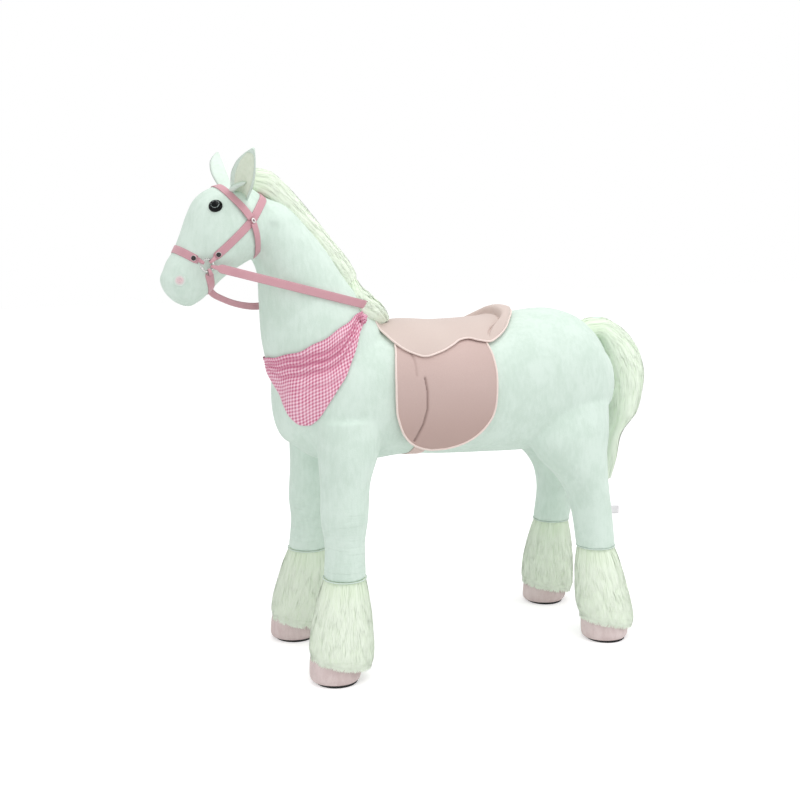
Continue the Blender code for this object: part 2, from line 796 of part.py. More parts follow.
def level_tube(low, high, radius, grow=0.0, disc=False):
    """Rings of a tube whose ends are cut level, with a foot disc under it or not."""
    way = high - low
    lean = way.length / way.z
    slope = way / way.z
    profile = [(-grow, radius + grow), (way.z + grow, radius + grow)]
    if disc:
        profile = [(-FOOT_DISC_THICKNESS - grow, FOOT_DISC_RADIUS + grow), (grow, FOOT_DISC_RADIUS + grow),
                   (grow, radius + grow), (way.z + grow, radius + grow)]
    stretch = lean if way.x * way.x > way.y * way.y else 1
    rings = []
    for up, ring_radius in profile:
        centre = low + slope * up
        turns = [2 * math.pi * step / FRAME_TUBE_SIDES for step in range(FRAME_TUBE_SIDES)]
        wide = stretch if ring_radius == radius + grow else 1
        rings.append([centre + Vector((math.cos(turn) * wide, math.sin(turn), 0)) * ring_radius for turn in turns])
    return rings


def frame_bodies(grow=0.0):
    """Points and faces of every frame piece, by name, grown for a cutter."""
    spine_top = BELLY_HEIGHT + TORSO_DEPTH - SPINE_COVER
    spine_bottom = spine_top - SPINE_HEIGHT
    cross_top = spine_bottom - FIT_GAP
    cross_bottom = cross_top - CROSS_SIZE
    leg_top = cross_bottom - FIT_GAP
    board_bottom = spine_top + FIT_GAP
    bodies = {}

    def add_box(name, middle_x, length, width, bottom, top):
        low = (middle_x - length / 2 - grow, -width / 2 - grow, bottom - grow)
        high = (middle_x + length / 2 + grow, width / 2 + grow, top + grow)
        bodies[name] = box_between(low, high)

    spine_length = FRAME_HIND_X - FRAME_FORE_X + 2 * SPINE_OVERHANG
    cross_length = 2 * (FRAME_LEG_SPREAD + CROSS_OVERHANG)
    add_box("frame_spine", (FRAME_FORE_X + FRAME_HIND_X) / 2, spine_length, SPINE_WIDTH, spine_bottom,
            spine_top)
    add_box("frame_cross_front", FRAME_FORE_X, CROSS_SIZE, cross_length, cross_bottom, cross_top)
    add_box("frame_cross_rear", FRAME_HIND_X, CROSS_SIZE, cross_length, cross_bottom, cross_top)
    add_box("seat_board", SEAT_BOARD_X, SEAT_BOARD_LENGTH, SEAT_BOARD_WIDTH, board_bottom,
            board_bottom + SEAT_BOARD_THICKNESS)
    disc_top = SOLE_THICKNESS + FIT_GAP + FOOT_DISC_THICKNESS
    for name, top_x, foot_x, side in (
            ("frame_leg_front_left", FRAME_FORE_X, FORE_FOOT_X, -1),
            ("frame_leg_front_right", FRAME_FORE_X, FORE_FOOT_X, 1),
            ("frame_leg_rear_left", FRAME_HIND_X, HIND_FOOT_X, -1),
            ("frame_leg_rear_right", FRAME_HIND_X, HIND_FOOT_X, 1)):
        low = Vector((foot_x, side * leg_spread(disc_top), disc_top))
        high = Vector((top_x, side * FRAME_LEG_SPREAD, leg_top))
        bodies[name] = skin(level_tube(low, high, FRAME_TUBE_RADIUS, grow, disc=True))
    post_foot = Vector((NECK_POST_FOOT_X, 0, board_bottom))
    post_top = Vector((NECK_POST_TOP_X, 0, NECK_POST_TOP_HEIGHT))
    bodies["neck_post"] = skin(level_tube(post_foot, post_top, FRAME_TUBE_RADIUS, grow))
    return bodies


# Laying straps and cloth over the forms

def outermost(trees, core, way, reach=RAY_LENGTH):
    """The furthest point from a core within reach, along a way, at which a line from outside meets the forms."""
    best = None
    for tree in trees:
        hit = tree.ray_cast(core + way * reach, -way, reach)[0]
        if hit is not None and (best is None or (hit - core).dot(way) > (best - core).dot(way)):
            best = hit
    return core.copy() if best is None else best


def seat_on(tree, core, way):
    """The point at which a line from outside meets a form, and the way the form faces there."""
    foot, normal = tree.ray_cast(core + way * RAY_LENGTH, -way, RAY_LENGTH)[:2]
    return foot, normal if normal.dot(way) > 0 else -normal


def section(centre, across, out, width, thickness):
    """Six points of a flat strap cut across: three inside, then three outside."""
    row = [centre + across * place * width for place in (-0.5, 0.0, 0.5)]
    half = out * thickness / 2
    return [point - half for point in row] + [point + half for point in reversed(row)]


def lay(stations, width, thickness, trees, lifts=None):
    """Sections of a strap that lies on the forms, its inner face sunk in them by STRAP_SINK to be cut to fit.

    A station holds a core inside the form and the way out of it.
    """
    middles = [outermost(trees, core, way) for core, way in stations]
    sections = []
    for index, (core, way) in enumerate(stations):
        before, after = middles[max(index - 1, 0)], middles[min(index + 1, len(middles) - 1)]
        tangent = (after - before).normalized()
        across = tangent.cross(way).normalized()
        out = across.cross(tangent).normalized()
        lift = lifts[index] if lifts else -STRAP_SINK
        inner, outer = [], []
        for place in (-0.5, 0.0, 0.5):
            shift = across * place * width
            height = max((outermost(trees, core + shift, way) - middles[index]).dot(out), -thickness)
            inner.append(middles[index] + shift + out * (height + lift))
            outer.append(middles[index] + shift + out * (height + thickness + max(lift, 0)))
        sections.append(inner + outer[::-1])
    return sections


def ribbon(path, width, thickness):
    """Sections of a strap along rows of centre and the way its outer face looks."""
    sections = []
    for index, (centre, out) in enumerate(path):
        before, after = path[max(index - 1, 0)][0], path[min(index + 1, len(path) - 1)][0]
        tangent = (after - before).normalized()
        across = tangent.cross(out).normalized()
        sections.append(section(centre, across, across.cross(tangent).normalized(), width, thickness))
    return sections


def ring_loop(ring_centre, way, out):
    """Path of a strap's end from its run, over the ring's wire and back under it."""
    half = LOOP_WIDTH / 2
    sag = RING_RADIUS - math.sqrt(RING_RADIUS * RING_RADIUS - half * half)
    wire = ring_centre + way * (RING_RADIUS - sag / 2)
    bend = RING_WIRE_RADIUS + LOOP_PLAY + STRAP_THICKNESS / 2
    path = [(wire + way * LOOP_LEAD + out * bend, out)]
    for step in range(LOOP_STEPS + 1):
        turn = math.pi / 2 + math.pi * step / LOOP_STEPS
        spoke = out * math.sin(turn) + way * math.cos(turn)
        path.append((wire + spoke * bend, spoke))
    path.append((wire + way * LOOP_TAIL - out * bend, -out))
    return path


def fan(core, toward, start_deg, end_deg, steps):
    """Stations round a core, from one side over the way toward and down the other side."""
    stations = []
    for step in range(steps + 1):
        turn = math.radians(start_deg + (end_deg - start_deg) * step / steps)
        stations.append((core, toward * math.cos(turn) + RIGHTWARDS * math.sin(turn)))
    return stations


def flat_way(start, end):
    """The way from one point to another in an X Z plane."""
    way = end - start
    way.y = 0
    return way.normalized()


torso = torso_form()
neck = neck_form()
head = head_form()
torso_tree, neck_tree, head_tree = torso.tree(), neck.tree(), head.tree()
RIGHTWARDS = Vector((0, 1, 0))
SIDES = (("left", -1), ("right", 1))
LEGS = (("front_left", True, -1), ("front_right", True, 1), ("rear_left", False, -1), ("rear_right", False, 1))


# Frame

frame_cutters = {name: cutter("cut_" + name, *body) for name, body in frame_bodies(FIT_GAP).items()}
for name, body in frame_bodies().items():
    new_object(name, closed_mesh(name, *body), PLYWOOD if name == "seat_board" else FRAME_STEEL, 30)

# Torso, neck and head

torso_body = torso.make("torso_plush", PLUSH)
for tool in frame_cutters.values():
    cut(torso_body, tool)
torso_cutter = torso.cutter("cut_torso")
head_cutter = head.cutter("cut_head")
neck_cutter = neck.cutter("cut_neck")
neck_body = neck.make("neck_plush", PLUSH)
cut(neck_body, torso_cutter)
cut(neck_body, head_cutter)
cut(neck_body, frame_cutters["neck_post"])
head_body = head.make("head_plush", PLUSH)
cut(head_body, frame_cutters["neck_post"])

# Legs, cuffs, hooves and soles

for name, front, side in LEGS:
    tube = frame_cutters["frame_leg_" + name]
    leg_body = leg_form(front, side).make("leg_" + name, PLUSH)
    cut(leg_body, tube)
    cut(leg_body, torso_cutter)
    cuff_body = cuff_form(front, side).make("fur_cuff_" + name, LONG_FUR)
    cut(cuff_body, cutter("cut_hoof_" + name, *skin(hoof_rings(front, side, FIT_GAP))))
    cut(cuff_body, tube)
    hoof_body = new_object("hoof_" + name, closed_mesh("hoof_" + name, *skin(hoof_rings(front, side))), PINK_PLUSH)
    cut(hoof_body, tube)
    foot = Vector((FORE_FOOT_X if front else HIND_FOOT_X, side * leg_spread(SOLE_THICKNESS), 0))
    sole = skin(turned_rings(foot, Vector((0, 0, 1)), ((0, SOLE_RADIUS), (SOLE_THICKNESS, SOLE_RADIUS)), HOOF_SIDES))
    new_object("sole_" + name, closed_mesh("sole_" + name, *sole), RUBBER, 30)

# Ears


def ear(side):
    """A cupped leaf of plush on the head, its hollow face turned forward and out."""
    root_angle = side * math.radians(EAR_ROUND_DEG)
    root = head.at(EAR_ALONG_SHARE, root_angle)
    splay = side * math.radians(EAR_SPLAY_DEG)
    lean = math.radians(EAR_BACK_DEG)
    grow = Vector((math.sin(lean), math.sin(splay), math.cos(splay) * math.cos(lean))).normalized()
    turn = side * math.radians(EAR_TURN_DEG)
    face = Vector((-math.cos(turn), math.sin(turn), 0))
    face = (face - grow * face.dot(grow)).normalized()
    wide = grow.cross(face)
    shape = Curve(EAR_SHARES)
    back, front = [], []
    for ring in range(EAR_RINGS + 1):
        up = ring / EAR_RINGS
        half = float(shape(up)[0]) * EAR_WIDTH / 2
        centre = root + grow * (up * (EAR_LENGTH + EAR_ROOT_SINK) - EAR_ROOT_SINK)
        back_row, front_row = [], []
        for strip in range(EAR_STRIPS + 1):
            across = 2 * strip / EAR_STRIPS - 1
            cup = face * EAR_CUP * half * 2 / EAR_WIDTH * across * across
            edge = centre + wide * across * half + cup
            back_row.append(edge)
            front_row.append(edge + face * EAR_THICKNESS * (1 - EAR_EDGE_SHARE * across * across))
        back.append(back_row)
        front.append(front_row)
    return slab(back, front)


for name, side in SIDES:
    ear_body = new_object("ear_" + name, closed_mesh("ear_" + name, *ear(side)), EAR_PLUSH)
    cut(ear_body, head_cutter)

# Mane


def mane_form():
    """A ridge of long hair along the crest of the neck, from above the reins to between the ears."""
    rows = []
    for along, outer_x, outer_z, inner_x, inner_z, half in MANE_SHARES:
        rows.append((along, NECK_FRONT_X + outer_x * NECK_BOX_LENGTH, NECK_BASE_HEIGHT + outer_z * NECK_BOX_HEIGHT,
                     NECK_FRONT_X + inner_x * NECK_BOX_LENGTH, NECK_BASE_HEIGHT + inner_z * NECK_BOX_HEIGHT,
                     0, half * MANE_HALF_WIDTH))
    return Form(rows, 0, MANE_ROUND, MANE_RINGS, MANE_SIDES)


mane = mane_form()
mane_body = mane.make("mane", LONG_FUR)

# Tail


def tail_form():
    """The hair of the tail, which swells behind the rump and tapers to a tip."""
    rows = []
    for down, outer_x, outer_z, inner_x, inner_z, half in TAIL_SHARES:
        rows.append((down, TAIL_ROOT_X + outer_x * TAIL_BOX_LENGTH, TAIL_ROOT_HEIGHT - outer_z * TAIL_BOX_HEIGHT,
                     TAIL_ROOT_X + inner_x * TAIL_BOX_LENGTH, TAIL_ROOT_HEIGHT - inner_z * TAIL_BOX_HEIGHT,
                     0, half * TAIL_HALF_WIDTH))
    return Form(rows, 0, TAIL_ROUND, TAIL_RINGS, TAIL_SIDES)


dock_rise = math.radians(TAIL_DOCK_RISE_DEG)
dock_way = Vector((math.cos(dock_rise), 0, math.sin(dock_rise)))
dock_root = Vector((TAIL_ROOT_X, 0, TAIL_ROOT_HEIGHT))
tail = tail_form()
tail_body = tail.make("tail_hair", LONG_FUR)


def dock(grow):
    """Points and faces of the dock, a stub that the hair hangs on and swings about, grown for a cutter."""
    radius = TAIL_DOCK_RADIUS + grow
    shoulder = TAIL_DOCK_LENGTH - TAIL_DOCK_RADIUS / 2
    profile = ((0, radius), (shoulder + grow, radius), (TAIL_DOCK_LENGTH + grow, radius / 2))
    return skin(turned_rings(dock_root, dock_way, profile, TAIL_DOCK_SIDES))


dock_body = new_object("tail_dock", closed_mesh("tail_dock", *dock(0)), PLUSH)
cut(dock_body, torso_cutter)
cut(tail_body, cutter("cut_dock", *dock(TAIL_PLAY)))
set_origin(tail_body, dock_root + dock_way * TAIL_DOCK_LENGTH)

# Saddle


def along_torso(x):
    """How far along the torso a place lies."""
    return (x - TORSO_FRONT_X) / TORSO_LENGTH


def angle_at_height(where, height):
    """The angle from the top at which the torso's side comes down to a height."""
    low, high = 0.0, math.pi
    for _ in range(BISECTIONS):
        middle = (low + high) / 2
        if torso.at(where, middle).z > height:
            low = middle
        else:
            high = middle
    return low


FLAP_STAND_OFF = GIRTH_THICKNESS + 3 * STRAP_GAP


def flap_edges(down):
    front, rear = Curve(FLAP_SHARES)(down)
    return FLAP_FRONT_X + front * FLAP_WIDTH, FLAP_FRONT_X + rear * FLAP_WIDTH


def seat():
    """The padded seat with its skirt, and under the skirt the top of each flap."""
    shape = Curve(SKIRT_SHARES)
    flap_front, flap_rear = flap_edges(0)
    outer, inner = [], []
    for ring in range(SEAT_RINGS + 1):
        along = ring / SEAT_RINGS
        x = SADDLE_FRONT_X + along * SADDLE_LENGTH
        where = along_torso(x)
        edge_share, padding, rise = shape(along)
        edge = math.radians(edge_share * SKIRT_EDGE_DEG)
        root = edge + math.radians(SADDLE_MARGIN_DEG)
        if flap_front <= x <= flap_rear:
            root = max(root, angle_at_height(where, FLAP_HINGE_HEIGHT))
        places = [(2 * strip / SEAT_STRIPS - 1) * edge for strip in range(SEAT_STRIPS + 1)]
        steps = [(step + 1) / ROOT_STRIPS for step in range(ROOT_STRIPS)]
        flange = [edge + (root - edge) * max(step, ROOT_STEP_SHARE) for step in steps]
        outer_row, inner_row = [], []
        for angle in [-place for place in reversed(flange)] + places + flange:
            if abs(angle) <= edge:
                crown = math.cos(angle / edge * math.pi / 2)
                height = SKIRT_THICKNESS + (padding * SEAT_PADDING + rise * CANTLE_HEIGHT) * crown ** CROWN_POWER
            else:
                height = FLAP_STAND_OFF + FLAP_THICKNESS
            outer_row.append(torso.at(where, angle, height))
            inner_row.append(torso.at(where, angle, -SKIRT_THICKNESS))
        outer.append(outer_row)
        inner.append(inner_row)
    return slab(outer, inner)


seat_body = new_object("saddle_seat", closed_mesh("saddle_seat", *seat()), SADDLE_SUEDE)
for tool in (torso_cutter, neck_cutter):
    cut(seat_body, tool)

# Saddle flaps and girth


def flap(side):
    """A flap that hangs from under the skirt, and lies off the belly towards its rounded foot."""
    outer, inner, hinge = [], [], []
    for row in range(FLAP_ROWS + 1):
        down = row / FLAP_ROWS
        height = FLAP_HINGE_HEIGHT - down * FLAP_HEIGHT
        front, rear = flap_edges(down)
        outer_row, inner_row = [], []
        for strip in range(FLAP_STRIPS + 1):
            x = front + (rear - front) * strip / FLAP_STRIPS
            where = along_torso(x)
            angle = side * angle_at_height(where, height)
            widest = side * math.pi / 2
            point = torso.at(where, angle)
            way = torso.normal(where, angle)
            if abs(angle) > abs(widest):
                point.y += (torso.at(where, widest).y - point.y) * FLAP_HANG_SHARE
                way = Vector((0, side, 0))
            if row == 0:
                point += (torso.at(where, angle + side * NORMAL_STEP_SHARE) - point).normalized() * FIT_GAP
            inner_row.append(point + way * FLAP_STAND_OFF)
            outer_row.append(point + way * (FLAP_STAND_OFF + FLAP_THICKNESS))
        outer.append(outer_row)
        inner.append(inner_row)
        hinge = hinge or outer_row
    axis_y = side * max(abs(point.y) for point in hinge)
    axis_z = max(point.z for point in hinge)
    return slab(outer, inner), Vector((hinge[0].x, axis_y, axis_z))


def girth():
    """A strap under the belly whose ends lie under the flaps."""
    where = along_torso(GIRTH_X)
    start = angle_at_height(where, FLAP_HINGE_HEIGHT) + GIRTH_WIDTH / TORSO_DEPTH
    centre = torso.oval(where)[0]
    corners = [math.pi * step / TORSO_SIDES for step in range(2 * TORSO_SIDES)]
    stations = []
    for angle in [start] + [corner for corner in corners if start < corner < 2 * math.pi - start] + [-start]:
        stations.append((centre, (torso.at(where, angle) - centre).normalized()))
    return skin(lay(stations, GIRTH_WIDTH, GIRTH_THICKNESS, [torso_tree]))


for name, side in SIDES:
    shape, axis = flap(side)
    flap_body = new_object("saddle_flap_" + name, closed_mesh("saddle_flap_" + name, *shape), SADDLE_SUEDE)
    set_origin(flap_body, axis)
girth_body = new_object("girth_strap", closed_mesh("girth_strap", *girth()), STRAP_PINK)
cut(girth_body, torso_cutter)

# Bridle

ring_core = head.at(RING_ALONG_SHARE, math.radians(RING_ROUND_DEG))
ring_core.y = 0
junction_core = head.at(JUNCTION_ALONG_SHARE, math.radians(JUNCTION_ROUND_DEG))
junction_core.y = 0
nose_way = flat_way(ring_core, head.at(NOSE_ALONG_SHARE, 0))
chin_way = flat_way(ring_core, head.at(CHIN_ALONG_SHARE, math.pi))
cheek_way = flat_way(ring_core, junction_core)
brow_way = flat_way(junction_core, head.at(BROW_ALONG_SHARE, 0))
crown_rise = math.radians(CROWN_RISE_DEG)
crown_way = Vector((math.cos(crown_rise), 0, math.sin(crown_rise)))
throat_way = flat_way(junction_core, head.at(THROAT_ALONG_SHARE, math.pi))
rein_way = flat_way(ring_core, neck.at(REIN_UP_SHARE, 0))
ring_side = outermost([head_tree], ring_core, RIGHTWARDS).y + RING_STAND_OFF
junction_side = outermost([head_tree, neck_tree], junction_core, RIGHTWARDS).y


def ring_centre(side):
    return ring_core + RIGHTWARDS * side * ring_side


def between_rings(way, run, right_way=None):
    """A strap from the left ring to the right one, with a loop round each wire and a run between them."""
    left = ribbon(ring_loop(ring_centre(-1), way, -RIGHTWARDS)[::-1], LOOP_WIDTH, STRAP_THICKNESS)
    right = ribbon(ring_loop(ring_centre(1), right_way or way, RIGHTWARDS), LOOP_WIDTH, STRAP_THICKNESS)
    return skin(left + run + right)


def around(core, way, margin_deg, trees, grow=0.0, lifts=None):
    """A strap over the head, in the plane of the Y axis and a way, from one side to the other."""
    stations = fan(core, way, margin_deg - 90, 90 - margin_deg, STRAP_STEPS)
    return lay(stations, STRAP_WIDTH + 2 * grow, STRAP_THICKNESS + grow, trees, lifts)


def cheek_run(side):
    """Stations up the cheek, from the snap to short of the crossing."""
    reach = (junction_core - ring_core).length
    stations = []
    for step in range(CHEEK_STEPS):
        along = SNAP_OFF_RING + (reach - SNAP_OFF_RING) * step / CHEEK_STEPS
        stations.append((ring_core + cheek_way * along, RIGHTWARDS * side))
    return stations


def crossing_lifts(margin_deg):
    """How far a strap rises over the headpiece near the crossing, along its fan."""
    lifts = []
    for step in range(STRAP_STEPS + 1):
        turn = margin_deg + (180 - 2 * margin_deg) * step / STRAP_STEPS
        near = 2 - 2 * min(turn, 180 - turn) / JUNCTION_LIFT_DEG
        lifts.append(-STRAP_SINK + (STRAP_SINK + CROSSING_HEIGHT) * min(max(near, 0), 1))
    return lifts


ring_margin = math.degrees(math.atan2(SNAP_OFF_RING, ring_side))
noseband = between_rings(nose_way, around(ring_core, nose_way, ring_margin, [head_tree]))
chin_strap = between_rings(chin_way, around(ring_core, chin_way, ring_margin, [head_tree]))
crown_run = fan(junction_core, crown_way, -90, 90, STRAP_STEPS)
headpiece_run = cheek_run(-1) + crown_run + cheek_run(1)[::-1]
headpiece = between_rings(cheek_way, lay(headpiece_run, STRAP_WIDTH, STRAP_THICKNESS, [head_tree, neck_tree]))
crossing_margin = math.degrees(math.atan2(RIVET_RADIUS / 2, junction_side))
lifts = crossing_lifts(crossing_margin)
browband = skin(around(junction_core, brow_way, crossing_margin, [head_tree], 0, lifts))
throat_latch = skin(around(junction_core, throat_way, crossing_margin, [head_tree], 0, lifts))
straps = {}
for name, shape in (("noseband", noseband), ("chin_strap", chin_strap), ("headpiece_strap", headpiece),
                    ("browband", browband), ("throat_latch", throat_latch)):
    straps[name] = new_object(name, closed_mesh(name, *shape), STRAP_PINK)
    cut(straps[name], head_cutter)
for name in ("headpiece_strap", "throat_latch"):
    cut(straps[name], neck_cutter)
crown_tunnel = around(junction_core, crown_way, crossing_margin, [head_tree, neck_tree], STRAP_GAP)
cut(mane_body, cutter("cut_crown", *skin(crown_tunnel)))
for tool in (neck_cutter, head_cutter):
    cut(mane_body, tool)
for name, side in SIDES:
    ring_body = new_object("bridle_ring_" + name, closed_mesh("bridle_ring_" + name, *hoop(
        ring_centre(side), RIGHTWARDS * side, RING_RADIUS, RING_WIRE_RADIUS, RING_SEGMENTS,
        RING_WIRE_SEGMENTS)), STEEL, 60)
    set_origin(ring_body, ring_centre(side))

# Snaps and studs


def stud(name, core, way, radius, height, lift, strap, material):
    """A domed cap on a strap, with a shank through a hole in it down to the plush."""
    foot, way = seat_on(head_tree, core, way)
    top = lift + STRAP_THICKNESS + STUD_PLAY
    profile = ((2 * FIT_GAP, STUD_SHANK_RADIUS), (top, STUD_SHANK_RADIUS), (top, radius),
               (top + height * CAP_EDGE_SHARE, radius), (top + height, radius * CAP_TOP_SHARE))
    new_object(name, closed_mesh(name, *skin(turned_rings(foot, way, profile, STUD_SIDES))), material, 50)
    bore = ((-CUT_OVERRUN, STUD_SHANK_RADIUS + FIT_GAP), (CUT_OVERRUN, STUD_SHANK_RADIUS + FIT_GAP))
    cut(strap, cutter("cut_" + name, *skin(turned_rings(foot, way, bore, STUD_SIDES))))


for name, side in SIDES:
    snap_turn = math.radians(90 - ring_margin - SNAP_INSET_DEG)
    nose_snap_way = nose_way * math.cos(snap_turn) + RIGHTWARDS * side * math.sin(snap_turn)
    stud("noseband_snap_" + name, ring_core, nose_snap_way, SNAP_RADIUS, SNAP_HEIGHT, 0, straps["noseband"],
         SNAP_BLACK)
    cheek_core = ring_core + cheek_way * (SNAP_OFF_RING + STRAP_WIDTH / 2)
    stud("cheek_snap_" + name, cheek_core, RIGHTWARDS * side, SNAP_RADIUS, SNAP_HEIGHT, 0,
         straps["headpiece_strap"], SNAP_BLACK)
    stud("crossing_stud_" + name, junction_core, RIGHTWARDS * side, RIVET_RADIUS, RIVET_HEIGHT,
         CROSSING_HEIGHT, straps["headpiece_strap"], SNAP_WHITE)

# Eyes


def eye_shapes(side):
    """An eye with its shank, the washer on the shank, and the pocket for both."""
    angle = side * math.radians(EYE_ROUND_DEG)
    seat_point = head.at(EYE_ALONG_SHARE, angle)
    way = head.normal(EYE_ALONG_SHARE, angle)
    profile = [(-EYE_SHANK_LENGTH, EYE_SHANK_RADIUS), (-EYE_SINK, EYE_SHANK_RADIUS), (-EYE_SINK, EYE_RADIUS)]
    profile += [(EYE_DOME * math.sin(turn), EYE_RADIUS * math.cos(turn))
                for turn in (math.radians(degrees) for degrees in EYE_DOME_DEGREES)]
    washer_top = -WASHER_DEPTH
    washer = [(washer_top, EYE_SHANK_RADIUS + FIT_GAP), (washer_top, WASHER_RADIUS),
              (washer_top - WASHER_THICKNESS, WASHER_RADIUS),
              (washer_top - WASHER_THICKNESS, EYE_SHANK_RADIUS + FIT_GAP)]
    deepest = -EYE_SHANK_LENGTH - FIT_GAP
    pocket = [(deepest, WASHER_RADIUS + FIT_GAP), (washer_top + FIT_GAP, WASHER_RADIUS + FIT_GAP),
              (washer_top + FIT_GAP, EYE_SHANK_RADIUS + FIT_GAP), (-EYE_SINK - FIT_GAP, EYE_SHANK_RADIUS + FIT_GAP),
              (-EYE_SINK - FIT_GAP, EYE_RADIUS + FIT_GAP), (EYE_DOME, EYE_RADIUS + FIT_GAP)]
    eye = skin(turned_rings(seat_point, way, profile, EYE_SIDES), None, seat_point + way * EYE_DOME)
    return (eye, skin(turned_rings(seat_point, way, washer, EYE_SIDES), endless=True),
            skin(turned_rings(seat_point, way, pocket, EYE_SIDES)))


for name, side in SIDES:
    eye, washer, pocket = eye_shapes(side)
    new_object("eye_" + name, closed_mesh("eye_" + name, *eye), EYE_BLACK, 60)
    new_object("eye_washer_" + name, closed_mesh("eye_washer_" + name, *washer), WASHER_PLASTIC, 30)
    cut(head_body, cutter("cut_eye_" + name, *pocket))

# Neckerchief


def kerchief_point(turn, height, offset):
    """A point on the chest and neck, at a turn from the front that is positive to the pony's left."""
    way = Vector((-math.cos(turn), -math.sin(turn), 0))
    hit = outermost([torso_tree, neck_tree], Vector((KERCHIEF_AXIS_X, 0, height)), way, KERCHIEF_RAY_LENGTH)
    return hit + way * offset


def kerchief():
    """A folded triangle of cloth with its point on the left of the chest, and its ends round the neck."""
    shape = Curve(KERCHIEF_SHARES)
    rings = []
    for strip in range(KERCHIEF_STRIPS):
        share = 2 * strip / KERCHIEF_STRIPS - 1
        top, low = [KERCHIEF_TIP_HEIGHT + edge * KERCHIEF_HEIGHT for edge in shape(share)]
        inner, outer = [], []
        for row in range(KERCHIEF_ROWS + 1):
            down = row / KERCHIEF_ROWS
            height = top + (low - top) * down
            wave = 1 + math.cos(KERCHIEF_FOLDS * share * math.pi + KERCHIEF_FOLD_LEAN * down)
            fold = KERCHIEF_FOLD * wave * (top - low) / KERCHIEF_HEIGHT
            inner.append(kerchief_point(share * math.pi, height, -KERCHIEF_SINK))
            outer.append(kerchief_point(share * math.pi, height, KERCHIEF_THICKNESS + fold))
        rings.append(inner + outer[::-1])
    return skin(rings, endless=True)


kerchief_points, kerchief_faces = kerchief()
kerchief_tree = BVHTree.FromPolygons([tuple(point) for point in kerchief_points], kerchief_faces)
kerchief_body = new_object("kerchief", closed_mesh("kerchief", kerchief_points, kerchief_faces), GINGHAM, 60)
for tool in (torso_cutter, neck_cutter):
    cut(kerchief_body, tool)


def knot():
    """The knot, a squeezed ball of cloth on the strip behind the left side of the neck."""
    turn = math.radians(KNOT_ROUND_DEG)
    top, foot = Curve(KERCHIEF_SHARES)(KNOT_ROUND_DEG / 180)
    height = KERCHIEF_TIP_HEIGHT + (foot + (top - foot) * KNOT_UP_SHARE) * KERCHIEF_HEIGHT
    way = Vector((-math.cos(turn), -math.sin(turn), 0))
    foot, way = seat_on(kerchief_tree, Vector((KERCHIEF_AXIS_X, 0, height)), way)
    foot += way * FIT_GAP
    bends = [math.radians(degrees) for degrees in KNOT_DEGREES]
    profile = [(KNOT_HEIGHT * (math.sin(bend) - math.sin(bends[0])), KNOT_RADIUS * math.cos(bend)) for bend in bends]
    tip = foot + way * KNOT_HEIGHT * (1 - math.sin(bends[0]))
    return skin(turned_rings(foot, way, profile, KNOT_SIDES), None, tip)


new_object("kerchief_knot", closed_mesh("kerchief_knot", *knot()), GINGHAM, 60)

# Reins


def turned_down(way, degrees):
    """A way in an X Z plane turned towards the floor."""
    return Matrix.Rotation(math.radians(degrees), 3, 'Y') @ way


def rein_reach(along, slack_deg):
    """How far to the side the reins must lie to clear all that they pass as they lift."""
    reach = ring_side
    for step in range(REIN_LIFT_STEPS + 1):
        way = turned_down(rein_way, slack_deg - REIN_LIFT_DEG * step / REIN_LIFT_STEPS)
        across = way.cross(RIGHTWARDS) * STRAP_WIDTH / 2
        for place in (-1, 0, 1):
            core = ring_core + way * along + across * place
            hit = outermost([head_tree, neck_tree], core, RIGHTWARDS)
            reach = max(reach, hit.y + REIN_CLEARANCE) if hit != core else reach
    return reach


def taut(points):
    """The outer half of the convex hull of points along and to the side, as a taut strap would lie."""
    kept = []
    for point in sorted(points):
        while len(kept) > 1 and ((kept[-1][0] - kept[-2][0]) * (point[1] - kept[-2][1])
                                 >= (kept[-1][1] - kept[-2][1]) * (point[0] - kept[-2][0])):
            kept.pop()
        kept.append(point)
    return kept


def spaced(points, count):
    """The same line with its corners evened out: points at equal steps of its length."""
    lengths = np.concatenate([[0], np.cumsum(np.hypot(*np.diff(np.array(points), axis=0).T))])
    steps = np.linspace(0, lengths[-1], count)
    columns = np.array(points).T
    return list(zip(np.interp(steps, lengths, columns[0]), np.interp(steps, lengths, columns[1])))


def rein_line(slack):
    """Rows of along and to the side, from the right ring to the top of the neck, and their degrees of slack."""
    crest = outermost([neck_tree], ring_core, rein_way)
    crest_along = (crest - ring_core).length
    core_along = crest_along * REIN_CORE_SHARE
    start = RING_RADIUS + LOOP_LEAD
    points = [(start, ring_side)]
    for step in range(1, REIN_SIDE_STEPS + 1):
        along = start + (core_along - start) * step / REIN_SIDE_STEPS
        points.append((along, rein_reach(along, slack(along / crest_along))))
    across = rein_way.cross(RIGHTWARDS) * STRAP_WIDTH / 2
    for step in range(REIN_FAN_STEPS + 1):
        turn = math.pi / 2 * step / REIN_FAN_STEPS
        way = rein_way * math.cos(turn) + RIGHTWARDS * math.sin(turn)
        core = ring_core + rein_way * core_along
        reach = max((outermost([neck_tree, kerchief_tree], core + across * place, way) - core).dot(way)
                    for place in (-1, 0, 1))
        reach += REIN_CREST_LIFT
        points.append((core_along + reach * math.cos(turn), reach * math.sin(turn)))
    return [(*row, slack(min(row[0] / crest_along, 1.0))) for row in spaced(taut(points), REIN_POINTS)]


def rein_path(slack):
    """Centres of one side of the reins and the ways its outer face looks, laid on the pony's right."""
    line = rein_line(slack)
    path = []
    for index, (along, beside, hang) in enumerate(line):
        before, after = line[max(index - 1, 0)], line[min(index + 1, len(line) - 1)]
        run = Vector((after[0] - before[0], after[1] - before[1], 0)).normalized()
        way = turned_down(rein_way, hang)
        out = way.copy() if index == len(line) - 1 else way * -run.y + RIGHTWARDS * run.x
        path.append((ring_core + way * along + RIGHTWARDS * beside + out * STRAP_THICKNESS / 2, out))
    return path


